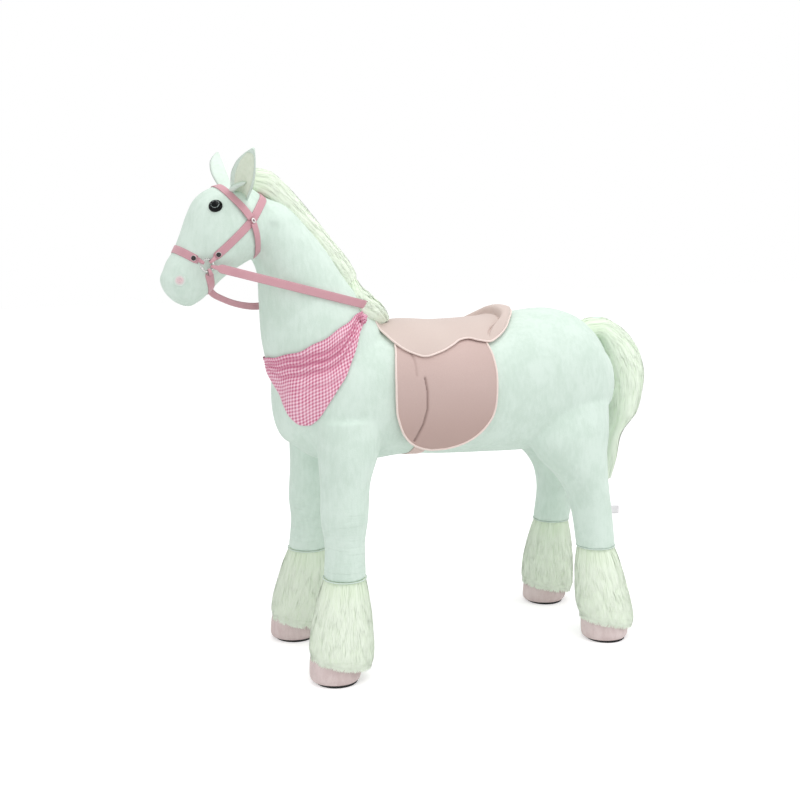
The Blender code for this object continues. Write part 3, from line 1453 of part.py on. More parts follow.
def reins():
    """One strap from ring to ring over the neck, taut on the left and slack on the right."""
    left = [(Vector((point.x, -point.y, point.z)), Vector((out.x, -out.y, out.z)))
            for point, out in rein_path(lambda share: 0.0)]
    slack = Curve(REIN_SLACK)
    right = rein_path(lambda share: slack(share)[0])
    run = ribbon(left + right[-2::-1], STRAP_WIDTH, STRAP_THICKNESS)
    return between_rings(rein_way, run, turned_down(rein_way, REIN_SLACK_LOOP_DEG))


rein_body = new_object("reins", closed_mesh("reins", *reins()), STRAP_PINK)
set_origin(rein_body, ring_core)

# Blank sewn tag

hind_leg = leg_form(False, -1)
tag_seat = outermost([hind_leg.tree()], Vector((HIND_FOOT_X, -leg_spread(TAG_HEIGHT), TAG_HEIGHT)), Vector((1, 0, 0)))
tag_low = tag_seat - Vector((TAG_SINK, TAG_THICKNESS / 2, TAG_WIDTH / 2))
tag_high = tag_seat + Vector((TAG_LENGTH, TAG_THICKNESS / 2, TAG_WIDTH / 2))
tag_body = new_object("sewn_tag", closed_mesh("sewn_tag", *box_between(tag_low, tag_high)), TAG_SATIN)
cut(tag_body, hind_leg.cutter("cut_tag"))
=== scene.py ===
"""The looks of a standing plush pony to ride on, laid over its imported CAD.

Metres, +Z up. The muzzle points to -X and the pony's left side is at -Y. Angles round a form start at its
top (or front) and grow towards +Y.
"""
import math

import bmesh
import bpy
import numpy as np
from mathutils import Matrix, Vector
from mathutils.bvhtree import BVHTree


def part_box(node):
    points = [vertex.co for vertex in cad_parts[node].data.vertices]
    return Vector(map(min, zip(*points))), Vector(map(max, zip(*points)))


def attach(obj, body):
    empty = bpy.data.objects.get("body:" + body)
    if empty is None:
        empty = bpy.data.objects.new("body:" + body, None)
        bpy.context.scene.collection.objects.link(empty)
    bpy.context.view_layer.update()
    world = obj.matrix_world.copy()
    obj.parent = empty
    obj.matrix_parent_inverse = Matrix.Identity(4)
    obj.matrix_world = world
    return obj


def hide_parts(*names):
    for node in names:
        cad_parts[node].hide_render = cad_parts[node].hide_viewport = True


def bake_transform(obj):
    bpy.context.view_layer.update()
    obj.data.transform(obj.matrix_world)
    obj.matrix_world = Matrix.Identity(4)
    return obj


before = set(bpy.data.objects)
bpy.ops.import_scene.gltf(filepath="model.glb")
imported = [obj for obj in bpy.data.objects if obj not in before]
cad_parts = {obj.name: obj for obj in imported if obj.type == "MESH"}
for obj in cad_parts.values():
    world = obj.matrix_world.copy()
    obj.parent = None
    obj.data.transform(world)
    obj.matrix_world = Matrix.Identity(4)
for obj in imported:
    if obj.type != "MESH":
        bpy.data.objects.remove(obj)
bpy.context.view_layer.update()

UP = np.array((0.0, 0.0, 1.0))
RIGHT = np.array((0.0, 1.0, 0.0))
SIDES = (("left", -1), ("right", 1))
LEGS = (("front_left", True, -1), ("front_right", True, 1), ("rear_left", False, -1), ("rear_right", False, 1))


# Shader maths

class Wire:
    """A socket of a tree of shader nodes. Sums and comparisons with it add Math nodes."""

    def __init__(self, shading, socket):
        self.shading = shading
        self.socket = socket

    def sum(self, operation, first, second):
        return self.shading.node("Math", [first, second], operation=operation)

    def __add__(self, other):
        return self.sum("ADD", self, other)

    def __mul__(self, other):
        return self.sum("MULTIPLY", self, other)

    def __sub__(self, other):
        return self.sum("SUBTRACT", self, other)

    def __rsub__(self, other):
        return self.sum("SUBTRACT", other, self)

    def __pow__(self, other):
        return self.sum("POWER", self, other)

    def __gt__(self, other):
        return self.sum("GREATER_THAN", self, other)

    def __lt__(self, other):
        return self.sum("LESS_THAN", self, other)

    def wave(self, period):
        """From 0 to 1 and back over each period."""
        return self.shading.node("Math", [self * (2 * math.pi / period)], operation="SINE") * 0.5 + 0.5


def light(colour):
    """An sRGB colour, 0 to 255, as linear light with its alpha."""
    level = np.array(colour) / 255
    return (*np.where(level <= 0.04045, level / 12.92, ((level + 0.055) / 1.055) ** 2.4), 1.0)


class Shading:
    """A tree of shader nodes, of a material or of the world."""

    def __init__(self, owner):
        owner.use_nodes = True
        self.tree = owner.node_tree

    def node(self, kind, inputs=(), output=0, **settings):
        """Any node: its settings first, then the values or links of its sockets."""
        made = self.tree.nodes.new("ShaderNode" + kind)
        for setting, value in settings.items():
            setattr(made, setting, value)
        for socket, value in (inputs.items() if isinstance(inputs, dict) else enumerate(inputs)):
            if isinstance(value, Wire):
                self.tree.links.new(value.socket, made.inputs[socket])
            else:
                made.inputs[socket].default_value = value
        return Wire(self, made.outputs[output])

    def seen(self):
        """1 where the camera looks, straight or by a mirror or glass, and 0 for all other light."""
        path = self.node("LightPath").socket.node.outputs
        looks = [Wire(self, path[name]) for name in ("Is Camera Ray", "Is Glossy Ray", "Is Transmission Ray")]
        return self.node("Math", [looks[0] + looks[1] + looks[2], 1.0], operation="MINIMUM")


class Finish(Shading):
    """A material built on one Principled shader."""

    def __init__(self, name, **values):
        self.material = bpy.data.materials.new(name)
        super().__init__(self.material)
        self.shader = self.tree.nodes["Principled BSDF"]
        for socket, value in values.items():
            self.shader.inputs[socket.replace("_", " ")].default_value = value

    def place(self):
        return self.node("TexCoord", output="Object")

    def cloth(self):
        """Cloth coordinates, across and along."""
        split = self.node("SeparateXYZ", [self.node("TexCoord", output="UV")])
        return split, Wire(self, split.socket.node.outputs[1])

    def axes(self):
        split = self.node("SeparateXYZ", [self.place()])
        return [Wire(self, output) for output in split.socket.node.outputs]

    def noise(self, scale, detail=2.0, stretch=(1, 1, 1)):
        vector = self.place()
        if stretch != (1, 1, 1):
            vector = self.node("VectorMath", [vector, stretch], operation="MULTIPLY")
        return self.node("TexNoise", {"Vector": vector, "Scale": scale, "Detail": detail})

    def band(self, value, low, high):
        """0 below low, 1 above high, smooth between."""
        return self.node("MapRange", {"Value": value, "From Min": low, "From Max": high},
                         interpolation_type="SMOOTHSTEP")

    def mix(self, mask, first, second):
        """One colour over another. A plain colour is sRGB, 0 to 255."""
        first, second = (colour if isinstance(colour, Wire) else light(colour) for colour in (first, second))
        return self.node("Mix", {0: mask, 6: first, 7: second}, 2, data_type="RGBA")

    def radius(self):
        """How far a point lies from the middle of its cloth coordinates."""
        across, along = self.cloth()
        return (across * across + along * along) ** 0.5

    def fold(self):
        """How deep a point lies in a fold, from 0 to 1, which sets how much painted shade it gets."""
        return self.node("Attribute", output=2, attribute_name="fold")

    def paint(self, colour=None, roughness=None, relief=None, depth=0.001, strength=1.0, glow=None):
        """Feed the shader what changes over the surface."""
        if relief is not None:
            relief = self.node("Bump", {"Strength": strength, "Distance": depth, "Height": relief})
        for wire, socket in ((glow, "Emission Color"), (colour, "Base Color"), (roughness, "Roughness"),
                             (relief, "Normal")):
            if wire is not None:
                self.tree.links.new(wire.socket, self.shader.inputs[socket])
        return self


PILE = {"Roughness": 0.95, "Sheen_Weight": 0.15, "Sheen_Roughness": 0.5, "Specular_IOR_Level": 0.15}
# Colour of the painted shade laid into the flap's creases.
PAINTED_FOLD_SHADE = (112, 88, 84)


def plush(name, bright, dull, pile=620.0, wrinkles=False):
    """Short brushed pile: fine fibres, soft patches where it lies another way."""
    made = Finish(name, **PILE)
    fibres = made.noise(pile, 3.0)
    lay = made.noise(17.0, 3.0)
    brushed = made.noise(120.0, 2.0, (1.0, 1.0, 0.35))
    mask = made.band(lay * 0.45 + brushed * 0.3 + fibres * 0.25, 0.36, 0.62)
    relief = fibres * 0.5 + brushed * 0.5
    if wrinkles:
        x, _, z = made.axes()
        folds = made.noise(11.0, 1.5, (1.0, 1.0, 7.0))
        low = made.band(z, 0.42, 0.30) * made.band(x, 0.0, -0.12)
        relief = relief + made.band(folds, 0.44, 0.58) * low * 1.2
    return made.paint(made.mix(mask, dull, bright), fibres * 0.1 + 0.85, relief, 0.0012, 0.55)


def fur_skin(name, bright, dull):
    """The ground of a long fur, streaked the way the hair lies."""
    made = Finish(name, Roughness=0.9, Sheen_Weight=0.1, Specular_IOR_Level=0.2)
    streaks = made.noise(230.0, 3.0, (1.0, 1.0, 0.12))
    locks = made.noise(38.0, 2.0, (1.0, 1.0, 0.3))
    return made.paint(made.mix(made.band(streaks * 0.5 + locks * 0.5, 0.35, 0.65), dull, bright),
                      streaks * 0.1 + 0.85, streaks, 0.002, 0.6)


def fur_hair(name, bright, dull, tip):
    """Single hairs: a tone of their own, darker at the root and paler at the tip."""
    made = Finish(name, Roughness=0.8, Sheen_Weight=0.1, Specular_IOR_Level=0.25)
    tone, along = made.cloth()
    own = made.mix(made.band(tone + along * 0.5, 0.1, 1.1), dull, bright)
    return made.paint(made.mix(made.band(along, 0.45, 1.0) * 0.7, own, tip), tone * 0.12 + 0.74)


def suede(name, bright, dull, foot=None):
    """Short-napped cloth that looks like suede. Given a foot colour, painted shade darkens it a little towards a
    flap's foot and into its creases.
    """
    made = Finish(name, Roughness=0.9, Sheen_Weight=0.2, Sheen_Roughness=0.45, Specular_IOR_Level=0.2)
    nap = made.noise(900.0, 3.0)
    marks = made.noise(7.0, 1.0)
    colour = made.mix(made.band(nap * 0.7 + marks * 0.3, 0.32, 0.68), dull, bright)
    if foot:
        # Painted shade: the cloth turns darker towards the flap's foot, where less light falls.
        colour = made.mix(made.band(made.axes()[2], 0.65, 0.51) * 0.85, colour, foot)
        # Painted shade in the creases, as deep as the fold.
        colour = made.mix(made.fold() * 0.40, colour, PAINTED_FOLD_SHADE)
    return made.paint(colour, nap * 0.12 + 0.82, nap * 0.6 + made.noise(60.0, 2.0) * 0.4, 0.0006, 0.5)


def webbing(name, bright, dull, thread):
    """A ribbed satin band with a row of stitches along each edge."""
    made = Finish(name, Roughness=0.6, Sheen_Weight=0.15, Specular_IOR_Level=0.35)
    across, along = made.cloth()
    rib = (along + across * 0.004).wave(0.0016)
    edge = made.node("Math", [across - 0.5], operation="ABSOLUTE")
    stitched = (edge > 0.36) * (edge < 0.41) * (along.wave(0.005) > 0.35)
    rim = made.band(edge, 0.40, 0.5)
    cloud = made.noise(40.0, 3.0)
    body = made.mix(made.band(cloud * 0.6 + rib * 0.2 + (1 - rim) * 0.3, 0.25, 0.8), dull, bright)
    return made.paint(made.mix(stitched, body, thread), rib * 0.15 + 0.5,
                      rib * 0.35 + stitched * 0.8 - rim * 0.6, 0.0006, 0.5)


def gingham(name, white, blush, deep, check):
    """Woven checks: white, one band over another, and the two crossed."""
    made = Finish(name, Roughness=0.85, Sheen_Weight=0.1, Specular_IOR_Level=0.2)
    across, along = made.cloth()
    warp = made.band(across.wave(check), 0.38, 0.62)
    weft = made.band(along.wave(check), 0.38, 0.62)
    threads = across.wave(0.0009) * 0.5 + along.wave(0.0009) * 0.5
    once = made.mix(made.node("Math", [warp, weft], operation="MAXIMUM"), white, blush)
    twice = made.mix(warp * weft, once, deep)
    worn = made.mix(made.band(made.noise(30.0, 2.0), 0.4, 0.7) * 0.15, twice, white)
    # Painted shade in the folds: the deep check colour laid in by fold depth.
    return made.paint(made.mix(made.fold() * 0.75, worn, deep), threads * 0.1 + 0.8, threads, 0.0004, 0.5)


def plain(name, bright, dull, roughness, scale, depth=0.0003, **values):
    """A hard or woven finish with fine marks."""
    made = Finish(name, Roughness=roughness, **values)
    marks = made.noise(scale, 3.0)
    return made.paint(made.mix(made.band(marks, 0.35, 0.65), dull, bright),
                      marks * 0.2 + (roughness - 0.1), marks, depth, 0.4)


PLUSH = plush("white_plush", (220, 236, 226), (208, 226, 214), wrinkles=True)
EAR_BACK = plush("ear_back", (222, 236, 227), (213, 227, 216))
EAR_INNER = plush("ear_inner", (231, 239, 223), (219, 229, 210), 800.0)
HOOF_PLUSH = plush("pale_pink_plush", (228, 212, 210), (213, 194, 192))
SEAM = plain("plush_seam", (218, 232, 223), (208, 223, 213), 0.9, 600.0)
FUR_GROUND = fur_skin("cream_fur_ground", (231, 244, 222), (220, 235, 208))
FUR_HAIR = fur_hair("cream_fur_hair", (237, 248, 229), (226, 240, 215), (243, 251, 237))
TAIL_FUR = fur_hair("cream_tail_hair", (236, 249, 229), (226, 245, 215), (242, 251, 237))
SUEDE = suede("pink_suede", (214, 198, 190), (207, 189, 182))
# The flap's third colour is the painted shade at its foot.
FLAP_SUEDE = suede("pink_suede_flap", (207, 184, 178), (199, 175, 169), (188, 162, 155))
PIPING = plain("pale_piping", (243, 229, 222), (232, 212, 205), 0.6, 900.0)
# A dark cord that is painted shadow: it stands for the shadow line under the saddle's piping.
PIPING_SHADOW_CORD = plain("piping_shadow_cord", (150, 118, 114), (128, 98, 95), 0.8, 900.0)
STRAP = webbing("pink_webbing", (208, 157, 166), (190, 137, 148), (220, 176, 183))
GIRTH = webbing("pale_girth", (216, 190, 182), (198, 170, 163), (224, 202, 196))
GINGHAM = gingham("pink_gingham", (250, 222, 234), (236, 168, 190), (196, 104, 138), 0.0074)
NICKEL = plain("nickel", (205, 205, 203), (170, 170, 168), 0.25, 400.0, Metallic=1.0)
SNAP_BLACK = plain("black_snap", (34, 28, 30), (18, 14, 16), 0.35, 700.0)
SNAP_WHITE = plain("white_snap", (246, 243, 240), (232, 228, 224), 0.3, 700.0)
STUD_MIDDLE = plain("stud_middle", (140, 108, 116), (112, 84, 92), 0.35, 700.0)
RUBBER = plain("black_rubber", (30, 28, 28), (16, 15, 15), 0.8, 500.0)
SATIN = plain("white_satin", (240, 238, 240), (222, 218, 222), 0.45, 900.0)
NOSTRIL = plain("pink_thread", (246, 230, 231), (238, 212, 216), 0.6, 1200.0, 0.0006)
PAINTED = plain("grey_painted_steel", (98, 102, 106), (84, 88, 92), 0.5, 300.0, Metallic=0.4)
PLYWOOD = plain("plywood", (204, 168, 120), (178, 142, 98), 0.7, 60.0)
WASHER = plain("white_plastic", (234, 234, 230), (224, 224, 220), 0.4, 400.0)


def eye_glass():
    """A black dome with a thin broken grey ring round the pupil."""
    made = Finish("eye_glass", Roughness=0.12, Coat_Weight=0.04, Coat_Roughness=0.04, Specular_IOR_Level=0.10)
    radius = made.radius()
    flecks = made.noise(420.0, 2.0)
    ring = made.band(radius, 0.52, 0.56) * made.band(radius, 0.63, 0.59)
    grey = made.mix(made.band(flecks, 0.42, 0.60), (14, 22, 21), (176, 190, 186))
    iris = made.mix(ring, (8, 12, 12), grey)
    return made.paint(iris, flecks * 0.04 + 0.10)


def blush(name, pink, bright, pile):
    """A soft round of pink thread that fades into the plush round it."""
    made = Finish(name, **PILE)
    fibres = made.noise(pile, 3.0)
    radius = made.radius() + fibres * 0.25
    return made.paint(made.mix(made.band(radius, 1.05, 0.40), bright, pink), fibres * 0.1 + 0.85,
                      fibres, 0.0012, 0.55)


EYE = eye_glass()
NOSTRIL_BLUSH = blush("nostril_blush", (238, 209, 213), (216, 232, 222), 620.0)


# Reading tables

class Curve:
    """A table read along its first column, on a smooth curve that never overshoots its rows."""

    def __init__(self, rows):
        table = np.array(rows, dtype=float)
        self.at = table[:, 0]
        self.values = table[:, 1:]
        rise = np.diff(self.values, axis=0) / np.diff(self.at)[:, None]
        product = rise[:-1] * rise[1:]
        total = np.where(product > 0, rise[:-1] + rise[1:], 1.0)
        self.slopes = np.vstack([rise[:1], np.where(product > 0, 2 * product / total, 0.0), rise[-1:]])

    def __call__(self, where):
        where = np.clip(where, self.at[0], self.at[-1])
        row = np.clip(np.searchsorted(self.at, where, side="right") - 1, 0, len(self.at) - 2)
        span = (self.at[row + 1] - self.at[row])[..., None]
        part = (where - self.at[row])[..., None] / span
        back = 1 - part
        start = self.values[row] * (1 + 2 * part) + self.slopes[row] * span * part
        end = self.values[row + 1] * (1 + 2 * back) - self.slopes[row + 1] * span * back
        return start * back * back + end * part * part


def unit(vectors):
    return vectors / np.maximum(np.linalg.norm(vectors, axis=-1, keepdims=True), 1e-12)


def full_turn(count):
    """Angles at equal steps of a whole turn."""
    return np.linspace(0, 2 * math.pi, count, endpoint=False)


class Form:
    """A stuffed form: ovals across a spine in an X Z plane, round or flat at each end.

    A row holds where it lies, from 0 to 1, the oval's top x and z, bottom x and z, centre y and half width.
    """

    def __init__(self, rows, start_round=0.0, end_round=0.0, fullness=2.0):
        self.curve = Curve(rows)
        self.rounds = np.array((start_round, end_round))
        self.power = 2.0 / fullness
        self.ends = np.zeros((2, 3))
        steps = self.oval(np.linspace(0, 1, 40))[0]
        self.length = float(np.linalg.norm(np.diff(steps, axis=0), axis=1).sum())
        for end, inner in ((0, 0.05), (1, 0.95)):
            centre, up, _ = self.oval(np.array(float(end)))
            way = unit(np.array((up[2], 0.0, -up[0])))
            self.ends[end] = way if way @ (centre - self.oval(np.array(inner))[0]) > 0 else -way

    def oval(self, where):
        """Centre, half axis to the top and half axis to +Y. Below 0 and above 1 lie the caps."""
        inside = np.clip(where, 0, 1)
        top_x, top_z, low_x, low_z, middle, half = np.moveaxis(self.curve(inside), -1, 0)
        zero = np.zeros_like(half)
        centre = np.stack([(top_x + low_x) / 2, middle, (top_z + low_z) / 2], axis=-1)
        up = np.stack([(top_x - low_x) / 2, zero, (top_z - low_z) / 2], axis=-1)
        side = np.stack([zero, half, zero], axis=-1)
        end = (np.asarray(where) > 0.5).astype(int)
        past = np.abs(where - inside)
        rounds = self.rounds[end]
        turn = np.where(rounds > 0, past * math.pi / 2, 0.0)
        shift = np.where(rounds > 0, rounds * np.sin(turn), past * getattr(self, "length", 0.0))
        centre = centre + self.ends[end] * shift[..., None]
        shrink = np.cos(turn)[..., None]
        return centre, up * shrink, side * shrink

    def at(self, where, angle, offset=None):
        """Points on the skin, or off it by an offset."""
        where, angle = np.broadcast_arrays(np.asarray(where, float), np.asarray(angle, float))
        centre, up, side = self.oval(where)
        cosine, sine = np.cos(angle), np.sin(angle)
        tall = (np.sign(cosine) * np.abs(cosine) ** self.power)[..., None]
        wide = (np.sign(sine) * np.abs(sine) ** self.power)[..., None]
        point = centre + up * tall + side * wide
        if offset is None:
            return point
        return point + self.normal(where, angle) * np.asarray(offset)[..., None]

    def normal(self, where, angle, step=0.002):
        where, angle = np.broadcast_arrays(np.asarray(where, float), np.asarray(angle, float))
        along = self.at(where + step, angle) - self.at(where - step, angle)
        round_it = self.at(where, angle + step) - self.at(where, angle - step)
        way = unit(np.cross(along, round_it))
        out = self.at(where, angle) - self.oval(where)[0]
        return np.where((way * out).sum(-1, keepdims=True) > 0, way, -way)

    def rings(self, rows, sides, offset=0.0):
        """Rings of points over the whole skin, its round ends too, almost to their poles."""
        cap = rows // 8
        where = np.concatenate([np.linspace(-0.97, 0, cap, endpoint=False)] * bool(self.rounds[0])
                               + [np.linspace(0, 1, rows)]
                               + [np.linspace(1, 1.97, cap + 1)[1:]] * bool(self.rounds[1]))
        return self.at(where[:, None], full_turn(sides)[None, :], offset)


TORSO_FRONT_X, TORSO_LENGTH, BELLY_HEIGHT, TORSO_DEPTH, TORSO_HALF_WIDTH = -0.313, 0.760, 0.435, 0.337, 0.150
NECK_FRONT_X, NECK_REACH, NECK_BASE_HEIGHT, NECK_RISE, NECK_HALF_WIDTH = -0.389, 0.360, 0.560, 0.470, 0.115
POLL = np.array((-0.367, 0.0, 0.999))
HEAD_SLOPE, HEAD_LENGTH, HEAD_DEPTH, HEAD_HALF_WIDTH = math.radians(43.0), 0.235, 0.165, 0.088
FORE_FOOT_X, HIND_FOOT_X, FOOT_SPREAD, LEG_ROOT_SPREAD, LEG_ROOT_HEIGHT = -0.259, 0.417, 0.145, 0.092, 0.560
CUFF_TOP_HEIGHT, CUFF_HEM_HEIGHT, CUFF_HEM_DROP = 0.222, 0.046, 0.026
TAIL_ROOT = np.array((0.417, 0.0, 0.722))
TAIL_REACH, TAIL_DROP, TAIL_HALF_WIDTH, DOCK_LENGTH, DOCK_RADIUS, DOCK_RISE = 0.165, 0.385, 0.054, 0.062, 0.015, 12.0

TORSO = Form([(along, TORSO_FRONT_X + along * TORSO_LENGTH, BELLY_HEIGHT + top * TORSO_DEPTH,
               TORSO_FRONT_X + along * TORSO_LENGTH, BELLY_HEIGHT + low * TORSO_DEPTH, 0, half * TORSO_HALF_WIDTH)
              for along, top, low, half in (
    (0.00, 0.780, 0.200, 0.62), (0.07, 0.880, 0.090, 0.82), (0.18, 0.930, 0.045, 0.93), (0.34, 0.930, 0.070, 0.97),
    (0.46, 0.910, 0.050, 0.98), (0.60, 0.930, 0.035, 0.99), (0.72, 0.980, 0.025, 1.00), (0.83, 1.000, 0.030, 0.99),
    (0.90, 0.965, 0.060, 0.94), (0.96, 0.870, 0.130, 0.83), (1.00, 0.730, 0.230, 0.66))], 0.026, 0.028, 2.25)


def in_neck(x, z):
    return NECK_FRONT_X + x * NECK_REACH, NECK_BASE_HEIGHT + z * NECK_RISE


NECK = Form([(along, *in_neck(rear_x, rear_z), *in_neck(front_x, front_z), 0, half * NECK_HALF_WIDTH)
             for along, front_x, front_z, rear_x, rear_z, half in (
    (0.00, 0.180, 0.000, 0.910, 0.290, 1.00), (0.18, 0.110, 0.190, 0.786, 0.419, 0.96),
    (0.36, 0.060, 0.380, 0.680, 0.520, 0.84), (0.52, 0.050, 0.530, 0.560, 0.630, 0.72),
    (0.66, 0.045, 0.640, 0.455, 0.750, 0.64), (0.80, 0.010, 0.720, 0.335, 0.860, 0.59),
    (0.92, -0.060, 0.790, 0.190, 0.965, 0.56), (1.00, -0.130, 0.840, 0.100, 0.990, 0.48))], 0, 0.02, 2.1)


def head_rows():
    ahead = np.array((-math.cos(HEAD_SLOPE), -math.sin(HEAD_SLOPE)))
    upward = np.array((-math.sin(HEAD_SLOPE), math.cos(HEAD_SLOPE)))
    for along, top, low, half in ((0.00, 0.440, 0.375, 0.64), (0.10, 0.575, 0.400, 0.80), (0.22, 0.660, 0.390, 0.92),
                                  (0.36, 0.680, 0.340, 0.99), (0.50, 0.610, 0.290, 0.97), (0.65, 0.505, 0.255, 0.84),
                                  (0.81, 0.410, 0.255, 0.71), (0.92, 0.375, 0.260, 0.66), (1.00, 0.320, 0.240, 0.59)):
        middle = POLL[[0, 2]] + ahead * along * HEAD_LENGTH
        yield (along, *(middle + upward * top * HEAD_DEPTH), *(middle - upward * low * HEAD_DEPTH), 0,
               half * HEAD_HALF_WIDTH)


HEAD = Form(list(head_rows()), 0.022, 0.028)

MANE = Form([(along, *in_neck(outer_x, outer_z), *in_neck(inner_x, inner_z), 0, half * 0.017)
             for along, outer_x, outer_z, inner_x, inner_z, half in (
    (0.00, 0.645, 0.585, 0.589, 0.545, 0.50), (0.06, 0.653, 0.634, 0.550, 0.585, 0.85),
    (0.16, 0.606, 0.702, 0.500, 0.649, 1.00), (0.34, 0.497, 0.804, 0.411, 0.734, 1.00),
    (0.58, 0.333, 0.953, 0.264, 0.862, 1.00), (0.76, 0.203, 1.060, 0.147, 0.962, 1.00),
    (0.90, 0.111, 1.113, 0.078, 1.000, 0.95), (1.00, 0.036, 1.126, 0.017, 1.021, 0.80))], 0, 0.012)

TUFT = Form([(along, top_x, top_z, low_x, low_z, 0, half) for along, top_x, top_z, low_x, low_z, half in (
    (0.00, -0.158, 0.856, -0.178, 0.838, 0.014), (0.25, -0.149, 0.837, -0.190, 0.796, 0.042),
    (0.50, -0.134, 0.822, -0.182, 0.775, 0.074), (0.75, -0.112, 0.804, -0.160, 0.760, 0.068),
    (0.92, -0.095, 0.785, -0.138, 0.752, 0.050), (1.00, -0.084, 0.769, -0.120, 0.747, 0.030))], 0, 0.006, 2.6)

TAIL = Form([((down + 0.10) / 1.10, TAIL_ROOT[0] + outer_x * TAIL_REACH, TAIL_ROOT[2] - outer_z * TAIL_DROP,
              TAIL_ROOT[0] + inner_x * TAIL_REACH, TAIL_ROOT[2] - inner_z * TAIL_DROP, 0, half * TAIL_HALF_WIDTH)
             for down, outer_x, outer_z, inner_x, inner_z, half in (
    (-0.10, -0.120, -0.020, -0.080, 0.090, 0.34), (-0.05, 0.100, -0.056, 0.100, 0.075, 0.38),
    (0.00, 0.300, -0.056, 0.230, 0.060, 0.42), (0.12, 0.560, -0.014, 0.375, 0.135, 0.64),
    (0.26, 0.822, 0.080, 0.420, 0.240, 0.85), (0.40, 0.975, 0.190, 0.465, 0.340, 0.96),
    (0.52, 1.032, 0.310, 0.475, 0.440, 1.00), (0.64, 0.985, 0.440, 0.470, 0.550, 0.98),
    (0.71, 0.930, 0.530, 0.455, 0.610, 0.90), (0.77, 0.770, 0.605, 0.435, 0.675, 0.74),
    (0.82, 0.670, 0.680, 0.420, 0.730, 0.60), (0.90, 0.630, 0.830, 0.405, 0.850, 0.50),
    (1.00, 0.560, 0.965, 0.400, 0.975, 0.30))], 0, 0.010)

FORELEG = ((0.00, 1.00, 0.94, 0.58, 0.0), (0.24, 0.84, 0.74, 0.66, 0.0), (0.42, 0.68, 0.61, 0.60, 0.0),
           (0.62, 0.60, 0.585, 0.585, 0.0), (0.80, 0.57, 0.495, 0.50, 0.0), (1.00, 0.52, 0.515, 0.515, 0.0))
HINDLEG = ((0.00, -0.70, 0.90, 0.48, 0.6), (0.22, -0.74, 0.94, 0.60, 0.8), (0.36, -0.62, 0.80, 0.58, 0.9),
           (0.50, -0.34, 0.590, 0.525, 1.0), (0.62, -0.19, 0.485, 0.470, 0.95), (0.78, -0.10, 0.435, 0.435, 0.80),
           (1.00, -0.09, 0.420, 0.420, 0.50))


def leg_spread(height):
    return FOOT_SPREAD + (LEG_ROOT_SPREAD - FOOT_SPREAD) * height / LEG_ROOT_HEIGHT


def leg_form(front, side):
    table, foot, sweep, depth = ((FORELEG, FORE_FOOT_X, 0.055, 0.088) if front else
                                 (HINDLEG, HIND_FOOT_X, 0.090, 0.108))
    rows = []
    for down, off, half_depth, half_width, stagger in table:
        height = LEG_ROOT_HEIGHT + down * (CUFF_TOP_HEIGHT - LEG_ROOT_HEIGHT)
        middle = foot + off * sweep + side * stagger * 0.023
        reach = half_depth * depth
        rows.append((down, middle - reach, height, middle + reach, height, side * leg_spread(height),
                     half_width * depth))
    return Form(rows)


def cuff_form(front, side):
    knee = leg_form(front, side).oval(np.array(1.0))[0][0]
    foot = (FORE_FOOT_X + 0.055 * 0.15) if front else HIND_FOOT_X
    rows = []
    for down, half_depth, hem in ((0.00, 0.70, 0.00), (0.20, 0.80, 0.10), (0.45, 0.91, 0.25), (0.75, 0.985, 0.60),
                                  (0.93, 0.97, 0.92), (1.00, 0.90, 1.00)):
        height = CUFF_TOP_HEIGHT + down * (CUFF_HEM_HEIGHT - CUFF_TOP_HEIGHT)
        middle = knee + (foot - knee) * down
        reach = half_depth * (0.067 if front else 0.064)
        drop = hem * CUFF_HEM_DROP / 2
        rows.append((down, middle - reach, height + drop, middle + reach + hem * 0.010, height - drop,
                     side * leg_spread(height), reach))
    return Form(rows)


# Making meshes

def together(*values):
    """Arrays broadcast to one shape, side by side in a last axis."""
    return np.stack(np.broadcast_arrays(*values), axis=-1)


def quads(rows, columns, wrap=False):
    """Faces of a grid of points. Wrapped, each row closes on itself."""
    row, column = np.meshgrid(np.arange(rows - 1), np.arange(columns if wrap else columns - 1), indexing="ij")
    here, beside = row * columns + column, row * columns + (column + 1) % columns
    return np.stack([here, beside, beside + columns, here + columns], axis=-1).reshape(-1, 4).tolist()


def tube(rings):
    """Points and faces of a closed tube through rings of points."""
    rows, columns = rings.shape[:2]
    last = (rows - 1) * columns
    faces = quads(rows, columns, True) + [list(range(columns)), list(range(last, last + columns))]
    return rings.reshape(-1, 3), faces


def slab(outer, inner):
    """Points and faces of a sheet between two grids, closed along its border."""
    rows, columns = outer.shape[:2]
    below = rows * columns
    top = quads(rows, columns)
    border = list(range(columns)) + [row * columns + columns - 1 for row in range(1, rows)]
    border += [(rows - 1) * columns + column for column in range(columns - 2, -1, -1)]
    border += [row * columns for row in range(rows - 2, 0, -1)]
    walls = [[here, there, there + below, here + below] for here, there in zip(border, border[1:] + border[:1])]
    under = [[corner + below for corner in reversed(face)] for face in top]
    return np.concatenate([outer.reshape(-1, 3), inner.reshape(-1, 3)]), top + under + walls


def joined(*shapes):
    """Several shapes of points and faces as one."""
    points, faces = [], []
    for some, more in shapes:
        first = sum(len(part) for part in points)
        points.append(some)
        faces += [[corner + first for corner in face] for face in more]
    return np.concatenate(points), faces


